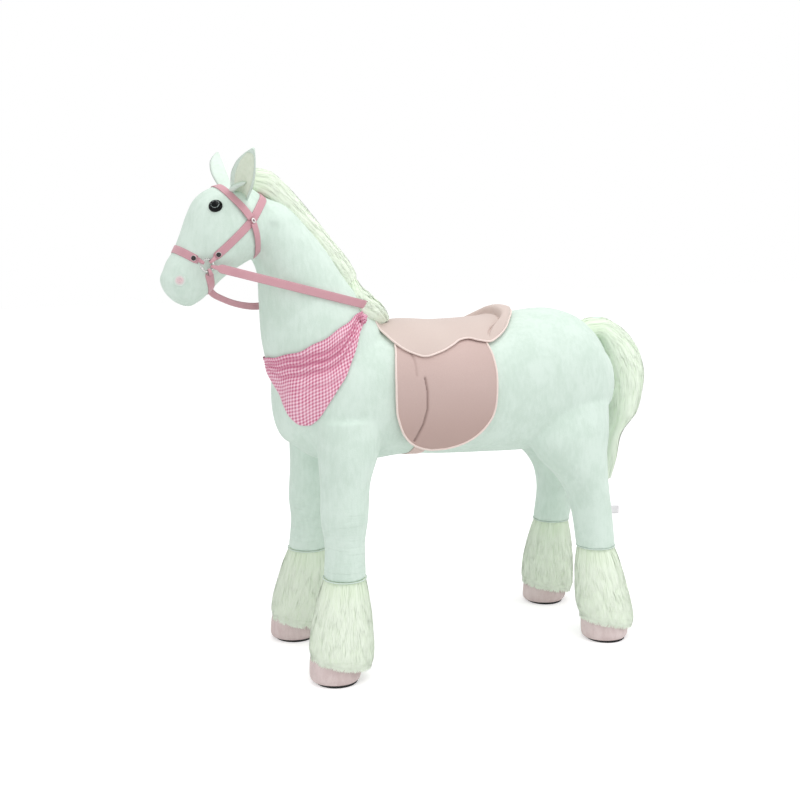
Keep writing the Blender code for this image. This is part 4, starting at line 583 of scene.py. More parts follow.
def piece(name, shape, finish, cloth=None, sharp=None, facing=None):
    """A mesh object from points and faces, with cloth coordinates if it has them.

    Its normals are turned outside, or taken from the ways that its points are given to face.
    """
    points, faces = shape
    mesh = bpy.data.meshes.new(name)
    mesh.from_pydata(np.asarray(points).tolist(), [], faces)
    if facing is None:
        work = bmesh.new()
        work.from_mesh(mesh)
        bmesh.ops.recalc_face_normals(work, faces=work.faces)
        work.to_mesh(mesh)
        work.free()
    if cloth is not None:
        corners = np.empty(len(mesh.loops), int)
        mesh.loops.foreach_get("vertex_index", corners)
        layer = mesh.uv_layers.new(name="cloth")
        layer.data.foreach_set("uv", np.asarray(cloth, float)[corners].ravel())
    mesh.shade_smooth()
    if sharp:
        mesh.set_sharp_from_angle(angle=math.radians(sharp))
    if facing is not None:
        mesh.normals_split_custom_set_from_vertices(facing.tolist())
    mesh.materials.append(finish.material)
    made = bpy.data.objects.new(name, mesh)
    bpy.context.scene.collection.objects.link(made)
    return made


def folded(thing, depth):
    """Mark how deep each point lies in a fold, where the cloth gets painted shade."""
    thing.data.attributes.new("fold", 'FLOAT', 'POINT').data.foreach_set("value", np.ravel(depth).astype(np.float32))


def dress(thing, body, slot, *nodes):
    """Let a piece ride a body and stand for CAD nodes. The slot is not used."""
    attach(thing, body)
    if nodes:
        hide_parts(*nodes)
    return thing


def applied(thing):
    """Turn an object's modifiers into its mesh."""
    depsgraph = bpy.context.evaluated_depsgraph_get()
    mesh = bpy.data.meshes.new_from_object(thing.evaluated_get(depsgraph))
    thing.modifiers.clear()
    thing.data = mesh
    return thing


def points_of(mesh):
    places = np.empty(len(mesh.vertices) * 3)
    mesh.vertices.foreach_get("co", places)
    return places.reshape(-1, 3)


def tree_of(thing):
    return BVHTree.FromObject(thing, bpy.context.evaluated_depsgraph_get())


def lengths_along(line):
    """How far along a line each of its points lies."""
    return np.concatenate([[0], np.cumsum(np.linalg.norm(np.diff(line, axis=0), axis=1))])


def sweep(line, outs, section, closed=False):
    """Points, faces and cloth coordinates of a section of (across, out) places drawn along a line."""
    ahead = unit(np.roll(line, -1, 0) - np.roll(line, 1, 0) if closed else np.gradient(line, axis=0))
    across = unit(np.cross(ahead, outs))
    outs = np.cross(across, ahead)
    rings = line[:, None] + across[:, None] * section[None, :, :1] + outs[:, None] * section[None, :, 1:]
    if closed:
        rings = np.concatenate([rings, rings[:1]])
        line = np.concatenate([line, line[:1]])
    width = np.ptp(section[:, 0])
    cloth = together(section[None, :, 0] / width + 0.5, lengths_along(line)[:, None]).reshape(-1, 2)
    if closed:
        return (rings.reshape(-1, 3), quads(*rings.shape[:2], True)), cloth
    return tube(rings), cloth


def trim(name, line, outs, section, finish, slot, *nodes, closed=False):
    """A cord or a band drawn along a line on the pony."""
    shape, cloth = sweep(line, outs, section, closed)
    return dress(piece(name, shape, finish, cloth), "pony", slot, *nodes)


def band_section(width, thickness):
    """A flat strap cut across, with soft edges."""
    turn = full_turn(16)
    wide = np.sign(np.cos(turn)) * np.abs(np.cos(turn)) ** 0.3 * width / 2
    tall = np.sign(np.sin(turn)) * np.abs(np.sin(turn)) ** 0.6 * thickness / 2
    return np.stack([wide, tall], axis=-1)


def round_section(radius, corners=8):
    turn = full_turn(corners)
    return np.stack([np.cos(turn), np.sin(turn)], axis=-1) * radius


def across_of(way):
    """Two level and upright ways across a way."""
    first = unit(np.cross(way, UP))
    return np.stack([first, np.cross(way, first)])


def even(line, count):
    """The same line with its points at equal steps."""
    line = np.asarray(line, float)
    lengths = lengths_along(line)
    steps = np.linspace(0, lengths[-1], count)
    return np.stack([np.interp(steps, lengths, column) for column in line.T], axis=-1)


def between(rows, count):
    """Rows of numbers read at a count of equal steps, straight from one to the next."""
    steps = np.linspace(0, len(rows) - 1, count)
    low = np.minimum(steps.astype(int), len(rows) - 2)
    part = (steps - low).reshape(-1, *[1] * (rows.ndim - 1))
    return rows[low] + (rows[low + 1] - rows[low]) * part


def smoothed(rows, times):
    """Rows of numbers evened out along their order, with both ends kept."""
    rows = np.array(rows, float)
    for _ in range(times):
        rows[1:-1] = (rows[:-2] + 2 * rows[1:-1] + rows[2:]) / 4
    return rows


def outermost(tree, core, way, reach=0.5):
    """Where a line from outside meets the plush round a core, and the way the plush faces there."""
    hit, normal, _, _ = tree.ray_cast(Vector(core + way * reach), Vector(-way), reach)
    if hit is None:
        return np.array(core), np.array(way)
    facing = np.array(normal)
    return np.array(hit), facing if facing @ way > 0 else -facing


def valley(points, line, width):
    """1 on a line and 0 away from it, for a crease or a seam of a given width."""
    line = np.asarray(line, float)
    nearest = np.full(points.shape[:-1], 1e9)
    for start, end in zip(line[:-1], line[1:]):
        run = end - start
        part = np.clip(((points - start) @ run) / (run @ run), 0, 1)
        nearest = np.minimum(nearest, np.linalg.norm(points - start - part[..., None] * run, axis=-1))
    return np.exp(-(nearest / width) ** 2)


# The stuffed body in one skin

def dock_rings():
    rise = math.radians(DOCK_RISE)
    way = np.array((math.cos(rise), 0, math.sin(rise)))
    second = np.cross(way, RIGHT)
    turn = full_turn(32)[:, None]
    spokes = RIGHT * np.cos(turn) + second * np.sin(turn)
    steps = ((0, 1), (0.75, 1), (0.92, 0.85), (1, 0.5))
    return np.array([TAIL_ROOT + way * along * DOCK_LENGTH + spokes * radius * DOCK_RADIUS
                     for along, radius in steps])


shapes = [tube(TORSO.rings(80, 96)), tube(NECK.rings(60, 80)), tube(HEAD.rings(70, 80)), tube(dock_rings())]
shapes += [tube(leg_form(front, side).rings(50, 56)) for _, front, side in LEGS]
body = piece("plush_body", joined(*shapes), PLUSH)
remesh = body.modifiers.new("one_skin", 'REMESH')
remesh.mode = 'VOXEL'
remesh.voxel_size = 0.0042
relax = body.modifiers.new("relax", 'SMOOTH')
relax.factor = 0.5
relax.iterations = 9
applied(body)
THROAT_CREASE = np.array(((-0.360, 0.968), (-0.3742, 0.9454), (-0.3829, 0.9313), (-0.4048, 0.8972)))
places = points_of(body.data)
beside = np.clip((np.abs(places[:, 1]) - 0.035) / 0.030, 0, 1)
places[:, 1] -= np.sign(places[:, 1]) * 0.0065 * valley(places[:, [0, 2]], THROAT_CREASE, 0.009) * beside
body.data.vertices.foreach_set("co", places.ravel())
body.data.shade_smooth()
dress(body, "pony", "white_plush", "torso_plush", "neck_plush", "head_plush", "tail_dock",
      *("leg_" + name for name, _, _ in LEGS))
skin = tree_of(body)


# Ears

EAR_LENGTH, EAR_SUNK, EAR_HALF_WIDTH, EAR_CUP = 0.148, 0.018, 0.026, 0.019
EAR_RISE, EAR_SPLAY_DEG, EAR_LEAN_DEG, EAR_TURN_DEG = 42.0, 50.0, -2.0, 56.0
LIP_STEPS, LIP_CORNERS = 40, 12


def ear(side):
    """A cupped leaf of plush with a rolled rim, its hollow face turned forward and out."""
    root = HEAD.at(0.03, side * math.radians(EAR_RISE))
    splay, lean, turn = np.radians((side * EAR_SPLAY_DEG, EAR_LEAN_DEG, side * EAR_TURN_DEG))
    grow = unit(np.array((math.sin(lean), math.sin(splay), math.cos(splay) * math.cos(lean))))
    face = np.array((-math.cos(turn), math.sin(turn), 0))
    face = unit(face - grow * (face @ grow))
    wide = np.cross(grow, face)
    up = np.linspace(0, 1, 40)[:, None]
    across = np.linspace(-1, 1, 25)[None, :]
    half = Curve(((0.00, 0.62), (0.25, 0.86), (0.50, 1.00), (0.72, 0.86), (0.88, 0.52), (1.00, 0.12)))(
        up[:, 0])[:, :1] * EAR_HALF_WIDTH
    cup = EAR_CUP * half / EAR_HALF_WIDTH * np.abs(across) ** 1.7
    line = root + grow * (up * EAR_LENGTH - EAR_SUNK)[..., None]
    back = line + wide * (across * half)[..., None] + face * (cup - 0.002)[..., None]
    front = back + face * (0.0042 + 0.0022 * (1 - across ** 2))[..., None]
    return back, front, face


for name, side in SIDES:
    back, front, face = ear(side)
    shell = piece("ear_" + name + "_plush", slab(back, front), EAR_BACK)
    hollow = front[1:-3, 3:-3]
    rise = unit(np.cross(np.gradient(hollow, axis=0), np.gradient(hollow, axis=1)))
    rise = np.where((rise * face).sum(-1, keepdims=True) > 0, rise, -rise) * 0.0010
    lining = piece("ear_" + name + "_lining", slab(hollow + rise, hollow - rise), EAR_INNER)
    dress(shell, "pony", "ear_plush", "ear_" + name)
    dress(lining, "pony", "ear_plush")
    lip = even([front[row, column] for row, column in ((3, 1), (7, 2), (10, 6), (13, 11), (15, 14))], LIP_STEPS)
    girth = np.interp(np.linspace(0, 1, LIP_STEPS), (0, 0.4, 0.85, 1), (0.0068, 0.0062, 0.0038, 0.0012))
    lip = lip + face * 0.0030
    shape, _ = sweep(lip, np.broadcast_to(face, lip.shape), round_section(1.0, LIP_CORNERS))
    spokes = shape[0].reshape(LIP_STEPS, LIP_CORNERS, 3) - lip[:, None]
    points = lip[:, None] + spokes * girth[:, None, None]
    dress(piece("ear_" + name + "_lip", (points.reshape(-1, 3), shape[1]), EAR_BACK), "pony", "ear_plush")


# Hooves and soles

HOOF_LOW, HOOF_HEIGHT, HOOF_RADIUS, HOOF_TOE, HOOF_CREASES = 0.0063, 0.0817, 0.053, 0.006, 0.0044
SOLE = ((0.0, 0.0445), (0.0012, 0.0458), (0.0050, 0.0458), (0.0060, 0.0450))


def revolve(foot, side, profile, toe, creases=0.0):
    """Level rings about a foot from rows of height and radius, a little long at the toe."""
    profile = np.array(profile)
    turn = full_turn(72)
    height, radius = profile[:, :1], profile[:, 1:]
    up = np.clip(height / (HOOF_LOW + HOOF_HEIGHT), 0, 1)
    ridge = np.abs(np.cos(3.5 * turn + 1.4 * side + 2.6 * up)) ** 0.6 - 0.7
    fold = ridge * (0.55 + 0.45 * np.cos(2 * turn + 0.7)) * creases * np.sin(up * math.pi)
    stretch = radius + toe * (1 - up) * np.maximum(-np.cos(turn), 0) + fold
    return np.stack([foot + stretch * np.cos(turn),
                     side * leg_spread(height) + (radius + fold) * np.sin(turn),
                     np.broadcast_to(height, stretch.shape)], axis=-1)


hoof_curve = Curve(((0.00, 0.90), (0.04, 0.955), (0.16, 0.995), (0.45, 0.99), (0.80, 0.87), (1.00, 0.70)))
for name, front, side in LEGS:
    foot = FORE_FOOT_X if front else HIND_FOOT_X
    steps = np.linspace(0, 1, 36) ** 1.3
    profile = np.stack([HOOF_LOW + steps * HOOF_HEIGHT, hoof_curve(steps)[:, 0] * HOOF_RADIUS], axis=-1)
    hoof = piece("hoof_plush_" + name, tube(revolve(foot, side, profile, HOOF_TOE, HOOF_CREASES)), HOOF_PLUSH)
    dress(hoof, "pony", "pale_pink_plush", "hoof_" + name)
    sole = piece("sole_rubber_" + name, tube(revolve(foot, side, SOLE, 0.0)), RUBBER, sharp=50)
    dress(sole, "pony", "black_rubber", "sole_" + name)


# Long fur

def hairs(form, count, seed, span, length, start_off, lift, width, sway, steps=6, flow=1, hem=None):
    """Ribbons of hair rooted all over a form. They run along it and stand off it towards their tips.

    None grows past the hem, if there is one.
    """
    chance = np.random.default_rng(seed)
    where = span[0] + (span[1] - span[0]) * chance.random(count)
    angle = 2 * math.pi * chance.random(count)
    lock = (np.floor(where * form.length / 0.022) * 31 + np.floor(angle * 5)).astype(int)
    _, lock = np.unique(lock, return_inverse=True)
    own = chance.random((lock.max() + 1, 4))[lock]
    part = np.linspace(0, 1, steps + 1)[None, :]
    reach = (length * (0.7 + 0.5 * own[:, 0] + 0.2 * chance.random(count)))[:, None] / form.length
    if hem:
        reach = np.minimum(reach, (hem - where + 0.05 * (chance.random(count) - 0.5))[:, None])
    drift = ((own[:, 1] - 0.5) * sway + (chance.random(count) - 0.5) * 0.12)[:, None]
    bend = 0.04 * np.sin(part * 5.0 + own[:, 2:3] * 6.3) * part
    along = where[:, None] + flow * reach * part
    turn = angle[:, None] + drift * part ** 1.5 + bend
    rise = (0.8 + 0.4 * own[:, 3:4]) * lift
    off = start_off + rise * (part * (2 - part)) + (chance.random((count, 1)) - 0.5) * 0.001
    line = form.at(along, turn, off)
    ahead = unit(np.gradient(line, axis=1))
    out = form.normal(along, turn)
    across = unit(np.cross(ahead, out))
    half = (width * (1 - 0.85 * part ** 1.5) / 2)[..., None]
    ribbon = np.stack([line - across * half, line + across * half], axis=2)
    base = (np.arange(count)[:, None] * (steps + 1) + np.arange(steps)[None, :]) * 2
    faces = np.stack([base, base + 1, base + 3, base + 2], axis=-1).reshape(-1, 4).tolist()
    tone = np.broadcast_to((own[:, :1] * 0.5 + 0.5 * chance.random((count, 1)))[..., None], (count, steps + 1, 2))
    tip = np.broadcast_to(part[..., None], (count, steps + 1, 2))
    facing = np.repeat(unit(out + UP * 0.35).reshape(-1, 3), 2, axis=0)
    return (ribbon.reshape(-1, 3), faces), np.stack([tone, tip], axis=-1).reshape(-1, 2), facing


def coat(name, *growth, finish=FUR_HAIR, **more):
    """A mesh of hairs that takes the light as the soft surface which they make up."""
    shape, cloth, facing = hairs(*growth, **more)
    return piece(name, shape, finish, cloth, facing=facing)


for number, (name, front, side) in enumerate(LEGS):
    form = cuff_form(front, side)
    ground = piece("cuff_ground_" + name, tube(form.rings(30, 48, -0.0025)), FUR_GROUND)
    dress(ground, "pony", "cream_long_fur", "fur_cuff_" + name)
    fur = coat("cuff_hair_" + name, form, 8000, 11 + number, (0.0, 0.97), 0.050, -0.0025, 0.0030, 0.0034, 0.16,
               hem=1.04)
    dress(fur, "pony", "cream_long_fur")
    start, turn = np.zeros(60), full_turn(60)
    trim("cuff_seam_" + name, form.at(start, turn), form.normal(start, turn), round_section(0.0013), SEAM,
         "cream_long_fur", closed=True)

mane_ground = piece("mane_ground", tube(MANE.rings(90, 32, -0.003)), FUR_GROUND)
dress(mane_ground, "pony", "cream_long_fur", "mane")
mane_hair = coat("mane_hair", MANE, 9000, 21, (0.02, 1.03), 0.060, -0.003, 0.0035, 0.0032, 0.3, flow=-1)
dress(mane_hair, "pony", "cream_long_fur")
tuft_ground = piece("mane_foot_ground", tube(TUFT.rings(40, 48, -0.003)), FUR_GROUND)
dress(tuft_ground, "pony", "cream_long_fur")
tuft_hair = coat("mane_foot_hair", TUFT, 6500, 22, (-0.1, 0.95), 0.042, -0.003, 0.0052, 0.0030, 0.45, hem=1.20)
dress(tuft_hair, "pony", "cream_long_fur")

tail_ground = piece("tail_ground", tube(TAIL.rings(60, 40, -0.004)), FUR_GROUND)
tail_strands = coat("tail_strands", TAIL, 12500, 31, (-0.02, 0.95), 0.100, -0.003, 0.0045, 0.0038, 0.2, 7,
                    hem=1.04, finish=TAIL_FUR)
for fur in (tail_ground, tail_strands):
    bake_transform(fur)
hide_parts("tail_hair")


# Saddle

SADDLE_FRONT_X, SADDLE_LENGTH, SKIRT_EDGE = -0.110, 0.330, math.radians(57.0)
FLAP_FRONT_X, FLAP_WIDTH, HINGE_HEIGHT, FLAP_DROP = -0.125, 0.245, 0.680, 0.195
FLAP_OFF, FLAP_THICKNESS, FLAP_TOP = 0.0038, 0.003, -0.26
SEAT_START, WITHERS_X, SEAT_GRID, SWELL_GRID = -0.060, -0.060, (260, 181), (65, 46)


def along_torso(x):
    return (x - TORSO_FRONT_X) / TORSO_LENGTH


def angle_at_height(where, height):
    """The angle from the top at which the torso's side comes down to a height."""
    shape = np.broadcast(where, height).shape
    low, high = np.zeros(shape), np.full(shape, math.pi)
    for _ in range(24):
        middle = (low + high) / 2
        above = TORSO.at(where, middle)[..., 2] > height
        low, high = np.where(above, middle, low), np.where(above, high, middle)
    return low


# Along the seat: how far its edge reaches down, and how deep it is padded.
skirt = Curve(((SEAT_START, 0.30, 0.00), (-0.030, 0.49, 0.00), (0.000, 0.67, 0.00), (0.055, 0.84, 0.15),
               (0.110, 0.93, 0.40), (0.194, 1.00, 0.80), (0.312, 0.91, 1.00), (0.420, 0.77, 1.00),
               (0.490, 0.67, 1.00), (0.545, 0.65, 0.90), (0.620, 0.72, 0.70), (0.694, 0.77, 0.50),
               (0.755, 0.71, 0.30), (0.855, 0.54, 0.00), (0.912, 0.38, 0.00), (0.960, 0.24, 0.00),
               (1.000, 0.10, 0.00)))

# Over the degrees from the top: where the roll behind the seat folds, and how high it stands.
cantle_fold = Curve(((0, 0.186), (11, 0.182), (17, 0.176), (23, 0.158), (29, 0.138), (37, 0.124), (60, 0.112)))
cantle_height = Curve(((0, 0.0155), (12, 0.015), (20, 0.0125), (28, 0.0085), (36, 0.004), (42, 0.0), (60, 0.0)))
PAD_PRESSURE, PAD_FRAMES, PAD_CAP = 4.0, 20, 0.006


def over_withers(points, axis):
    """The front of the seat, lifted where the neck's foot stands higher than the back under it."""
    lifts = np.zeros(points.shape[:2])
    for row in np.flatnonzero(points[:, points.shape[1] // 2, 0] < WITHERS_X):
        for column in range(points.shape[1]):
            way = unit(points[row, column] - axis[row, 0])
            hit, _ = outermost(skin, axis[row, 0], way, 0.3)
            lifts[row, column] = max(np.linalg.norm(hit - axis[row, 0])
                                     - np.linalg.norm(points[row, column] - axis[row, 0]), 0)
    lifts = smoothed(smoothed(lifts, 6).T, 6).T
    return points + unit(points - axis) * lifts[..., None]


def seat(rows, columns):
    """The seat: a soft pad with its skirts, and the raised roll behind, folded hard against it.

    Gives its outer face, its underside and how firmly each point of the outer face is sewn down.
    """
    along = np.linspace(SEAT_START, 1, rows)[:, None]
    across = np.linspace(-1, 1, columns)[None, :]
    x = SADDLE_FRONT_X + along * SADDLE_LENGTH
    where = along_torso(x)
    edge, padding = (column[:, None] for column in skirt(along[:, 0]).T)
    angle = across * edge * SKIRT_EDGE
    degrees = np.degrees(np.abs(angle))
    fold, roll = cantle_fold(degrees)[..., 0], cantle_height(degrees)[..., 0]
    to_edge = np.minimum((1 - np.abs(across)) * edge * SKIRT_EDGE * 0.15, (1 - along) * SADDLE_LENGTH)
    round_edge = np.sqrt(1 - (1 - np.clip(to_edge / 0.020, 0, 1)) ** 2)
    past = np.clip((x - fold) / 0.010, 0, 1)
    stuffing = 0.0030 + padding * 0.0045 * np.cos(across * math.pi / 2) ** 0.7
    border = np.exp(-(to_edge / 0.010) ** 2)
    creased = np.exp(-((x - fold + 0.002) / 0.0030) ** 2) * np.clip(roll / 0.008, 0, 1)
    height = 0.0055 + 0.0028 * border + (stuffing + roll * np.sqrt(1 - (1 - past) ** 2)) * round_edge
    height = height - 0.0042 * creased
    under = -0.002 + (height - 0.0020) * border
    axis = together(x, 0.0, 0.600)
    return (over_withers(TORSO.at(where, angle, height), axis), over_withers(TORSO.at(where, angle, under), axis),
            np.maximum(border, creased))


def puffed(rows, columns):
    """How the stuffing swells the seat: a cloth simulation of its outer face, sewn down at border and fold."""
    outer, inner, firm = seat(rows, columns)
    shape = slab(outer, inner)
    pad = piece("pad_in_the_making", shape, SUEDE)
    held = pad.vertex_groups.new(name="sewn_down")
    weights = np.concatenate([np.where(firm > 0.35, 1.0, 0.0).ravel(), np.ones(rows * columns)])
    for weight in (1.0, 0.0):
        held.add(np.flatnonzero(weights == weight).tolist(), weight, 'REPLACE')
    cloth = pad.modifiers.new("stuffing", 'CLOTH')
    cloth.settings.vertex_group_mass = "sewn_down"
    cloth.settings.use_pressure = True
    cloth.settings.uniform_pressure_force = PAD_PRESSURE
    cloth.settings.effector_weights.gravity = 0.0
    cloth.point_cache.frame_end = PAD_FRAMES
    for frame_number in range(1, PAD_FRAMES + 1):
        bpy.context.scene.frame_set(frame_number)
    swollen = points_of(pad.evaluated_get(bpy.context.evaluated_depsgraph_get()).data)
    move = swollen[:rows * columns].reshape(rows, columns, 3) - outer
    bpy.data.objects.remove(pad)
    bpy.context.scene.frame_set(1)
    far = np.linalg.norm(move, axis=-1, keepdims=True)
    return move * np.tanh(far / PAD_CAP) * PAD_CAP / np.maximum(far, 1e-9)


outer, inner, _ = seat(*SEAT_GRID)
swell = puffed(*SWELL_GRID)
for count in SEAT_GRID:
    swell = smoothed(between(swell, count), 4).transpose(1, 0, 2)
outer = outer + swell
seat_piece = piece("saddle_pad", slab(outer, inner), SUEDE, sharp=70)
dress(seat_piece, "pony", "pink_suede", "saddle_seat")
rim = np.concatenate([outer[:, 0], outer[-1, 1:], outer[-2::-1, -1], outer[0, -2:0:-1]])
rim = even(np.concatenate([rim, rim[:1]]), 520)[:-1]
rim_out = unit(rim - np.array((0.055, 0.0, 0.60)))
trim("saddle_piping", rim + rim_out * 0.0004, rim_out, round_section(0.0023, 10), PIPING, "pink_suede", closed=True)
# Painted shadow: a dark cord just under the piping along the skirt's edge.
trim("saddle_piping_shadow", rim - rim_out * 0.0030, rim_out, round_section(0.0013, 6), PIPING_SHADOW_CORD, "pink_suede", closed=True)

FAINT_CREASE = np.array(((-0.076, 0.704), (-0.071, 0.677), (-0.072, 0.652)))
DEEP_CREASE = np.array(((-0.054, 0.645), (-0.050, 0.619), (-0.050, 0.579), (-0.058, 0.547), (-0.074, 0.512)))


def flap(side):
    """A flap from under the skirt to its rounded foot, which lies a little off the belly.

    Gives its outer and inner face, the ways out of it and how deep each point is creased.
    """
    down = np.linspace(FLAP_TOP, 1, 150)[:, None]
    across = np.linspace(0, 1, 120)[None, :]
    edges = Curve(((FLAP_TOP, 0.098, 0.955), (-0.120, 0.072, 0.970), (0.000, 0.045, 0.985), (0.160, 0.025, 0.990),
                   (0.360, 0.020, 0.985), (0.520, 0.025, 0.975),
                   (0.640, 0.050, 0.950), (0.760, 0.090, 0.890), (0.860, 0.150, 0.810), (0.930, 0.225, 0.720),
                   (0.975, 0.310, 0.620), (1.000, 0.390, 0.520)))(down[:, 0])
    x = FLAP_FRONT_X + (edges[:, :1] + (edges[:, 1:] - edges[:, :1]) * across) * FLAP_WIDTH
    height = HINGE_HEIGHT - down * FLAP_DROP + 0 * x
    where = along_torso(x)
    angle = angle_at_height(where, height)
    point = TORSO.at(where, side * angle)
    way = TORSO.normal(where, side * angle)
    past = angle > math.pi / 2
    widest = TORSO.at(where, side * math.pi / 2)
    point[..., 1] = np.where(past, point[..., 1] + (widest[..., 1] - point[..., 1]) * 0.5, point[..., 1])
    way = np.where(past[..., None], np.array((0.0, side, 0.0)), way)
    off = FLAP_OFF * np.clip((down - FLAP_TOP) / 0.40, 0, 1) + 0 * x
    deep = 0 * x
    if side < 0:
        places = np.stack([x, height], axis=-1)
        ahead = np.clip((np.interp(height, DEEP_CREASE[::-1, 1], DEEP_CREASE[::-1, 0]) - x) / 0.030, -1, 1)
        off += 0.0022 * np.where(ahead > 0, (1 - ahead) ** 2, 0) * np.clip((0.69 - height) / 0.05, 0, 1)
        deep = valley(places, DEEP_CREASE, 0.0028) + 0.45 * valley(places, FAINT_CREASE, 0.0024)
        off -= 0.0046 * deep
    else:
        off += 0.0012 * np.sin(x * 42 + height * 19)
    inner = point + way * off[..., None]
    return inner + way * FLAP_THICKNESS, inner, way, deep


for name, side in SIDES:
    outer, inner, way, deep = flap(side)
    flap_piece = piece("flap_suede_" + name, slab(outer, inner), FLAP_SUEDE, sharp=60)
    # The crease depth sets the painted shade in the flap's creases.
    folded(flap_piece, np.clip([deep, deep], 0, 1))
    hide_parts("saddle_flap_" + name)
    first = 10
    rim = np.concatenate([outer[first:, 0], outer[-1, 1:], outer[-2:first - 1:-1, -1]])
    outs = np.concatenate([way[first:, 0], way[-1, 1:], way[-2:first - 1:-1, -1]])
    shape, cloth = sweep(even(rim, 320), unit(even(outs, 320)), round_section(0.0024, 10))
    for part in (flap_piece, piece("flap_piping_" + name, shape, PIPING, cloth)):
        "saddle_flap_" + name
        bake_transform(part)

girth_where = along_torso(-0.041)
girth_angles = np.linspace(math.radians(62), 2 * math.pi - math.radians(62), 90)
girth_line, girth_outs = TORSO.at(girth_where, girth_angles), TORSO.normal(girth_where, girth_angles)
trim("girth_band", girth_line + girth_outs * 0.0012, girth_outs, band_section(0.034, 0.002), GIRTH, "pink_webbing",
     "girth_strap")


# Bridle

STRAP_WIDTH, STRAP_THICKNESS, RING_RADIUS, RING_WIRE = 0.0170, 0.0022, 0.0125, 0.0018
RING_CORE = HEAD.at(0.728, math.radians(92)) * (1, 0, 1)
JUNCTION = HEAD.at(0.180, math.radians(94)) * (1, 0, 1)
RING_SIDE, LOOP_SHARE, SNAP_RADIUS, DOME_SIDES = 0.07844, 0.35, 0.0054, 40


def flat_way(start, end):
    return unit((end - start) * (1, 0, 1))


nose_way = flat_way(RING_CORE, HEAD.at(0.79, 0))
chin_way = flat_way(RING_CORE, HEAD.at(0.83, math.pi))
cheek_way = flat_way(RING_CORE, JUNCTION)
brow_way = flat_way(JUNCTION, HEAD.at(0.14, 0))
crown_way = np.array((math.cos(math.radians(52)), 0, math.sin(math.radians(52))))
throat_way = flat_way(JUNCTION, HEAD.at(0.33, math.pi))


def fan(core, toward, start_deg, end_deg):
    """Stations round a core, from one side over the way toward and down the other side."""
    for turn in np.radians(np.linspace(start_deg, end_deg, 60)):
        yield core, toward * math.cos(turn) + RIGHT * math.sin(turn)


def laid(stations, over=skin):
    """A strap's middle line on the plush, and which way its outer face looks."""
    found = [outermost(over, core, way) for core, way in stations]
    line = smoothed([point for point, _ in found], 3)
    outs = unit(smoothed([facing for _, facing in found], 12))
    return line + outs * STRAP_THICKNESS / 2, outs


def ring_end(side, way):
    """A strap's end from its run, over the ring's wire and back under it."""
    centre, out = RING_CORE + RIGHT * side * RING_SIDE, RIGHT * side
    wire = centre + way * (RING_RADIUS - 0.0004)
    bend = RING_WIRE + 0.0009 + STRAP_THICKNESS / 2
    turn = (math.pi / 2 + np.linspace(0, math.pi, 12))[:, None]
    spoke = out * np.sin(turn) + way * np.cos(turn)
    line = np.concatenate([[wire + way * 0.010 + out * bend], wire + spoke * bend, [wire + way * 0.003 - out * bend]])
    return line, np.concatenate([[out], spoke, [-out]])


def bridle_strap(name, way, run_line, run_outs, node, width=STRAP_WIDTH, right_way=None):
    """A strap between the rings: its run over the head, and a loop round each wire, pinched to LOOP_SHARE."""
    left, left_out = ring_end(-1, way)
    right, right_out = ring_end(1, way if right_way is None else right_way)
    line = np.concatenate([left[::-1], run_line, right])
    outs = np.concatenate([left_out[::-1], run_outs, right_out])
    narrow = np.full(len(line), LOOP_SHARE)
    narrow[len(left):len(line) - len(right)] = 1
    shape, cloth = sweep(line, outs, band_section(width, STRAP_THICKNESS))
    points = shape[0].reshape(len(line), -1, 3)
    middle = line[:, None]
    across = unit(np.cross(unit(np.gradient(line, axis=0)), outs))[:, None]
    side_step = ((points - middle) * across).sum(-1, keepdims=True) * across
    points = points - side_step * (1 - smoothed(narrow, 2))[:, None, None]
    made = piece(name, (points.reshape(-1, 3), shape[1]), STRAP, cloth)
    return dress(made, "pony", "pink_webbing", node)


margin = math.degrees(math.atan2(0.023, RING_SIDE))
bridle_strap("noseband_strap", nose_way, *laid(fan(RING_CORE, nose_way, margin - 90, 90 - margin)), "noseband")
bridle_strap("chin_band", chin_way, *laid(fan(RING_CORE, chin_way, margin - 90, 90 - margin)), "chin_strap")
reach = np.linalg.norm(JUNCTION - RING_CORE)
cheek = [RING_CORE + cheek_way * step for step in np.linspace(0.023, reach * 0.95, 20)]
run = [(core, -RIGHT) for core in cheek] + list(fan(JUNCTION, crown_way, -90, 90))
run += [(core, RIGHT) for core in reversed(cheek)]
bridle_strap("headpiece_band", cheek_way, *laid(run), "headpiece_strap")
crossing = np.radians(np.linspace(4, 176, 60))
near = np.clip(2 - 2 * np.minimum(crossing, math.pi - crossing) / math.radians(44), 0, 1)
head_skin = tree_of(piece("head_last", tube(HEAD.rings(70, 80)), PLUSH))
bpy.data.objects.remove(bpy.data.objects["head_last"])
for name, way, node, over, width in (("browband_strap", brow_way, "browband", skin, STRAP_WIDTH),
                                     ("throat_strap", throat_way, "throat_latch", head_skin, 0.0135)):
    line, outs = laid(fan(JUNCTION, way, -86, 86), over=over)
    trim(name, line + outs * (near * 0.0036)[:, None], outs, band_section(width, STRAP_THICKNESS), STRAP,
         "pink_webbing", node)


def dome(centre, way, profile):
    """Rings of points round an axis, from rows of height and radius."""
    spokes = round_section(1.0, DOME_SIDES) @ across_of(way)
    return np.array([centre + way * high + spokes * radius for high, radius in profile])


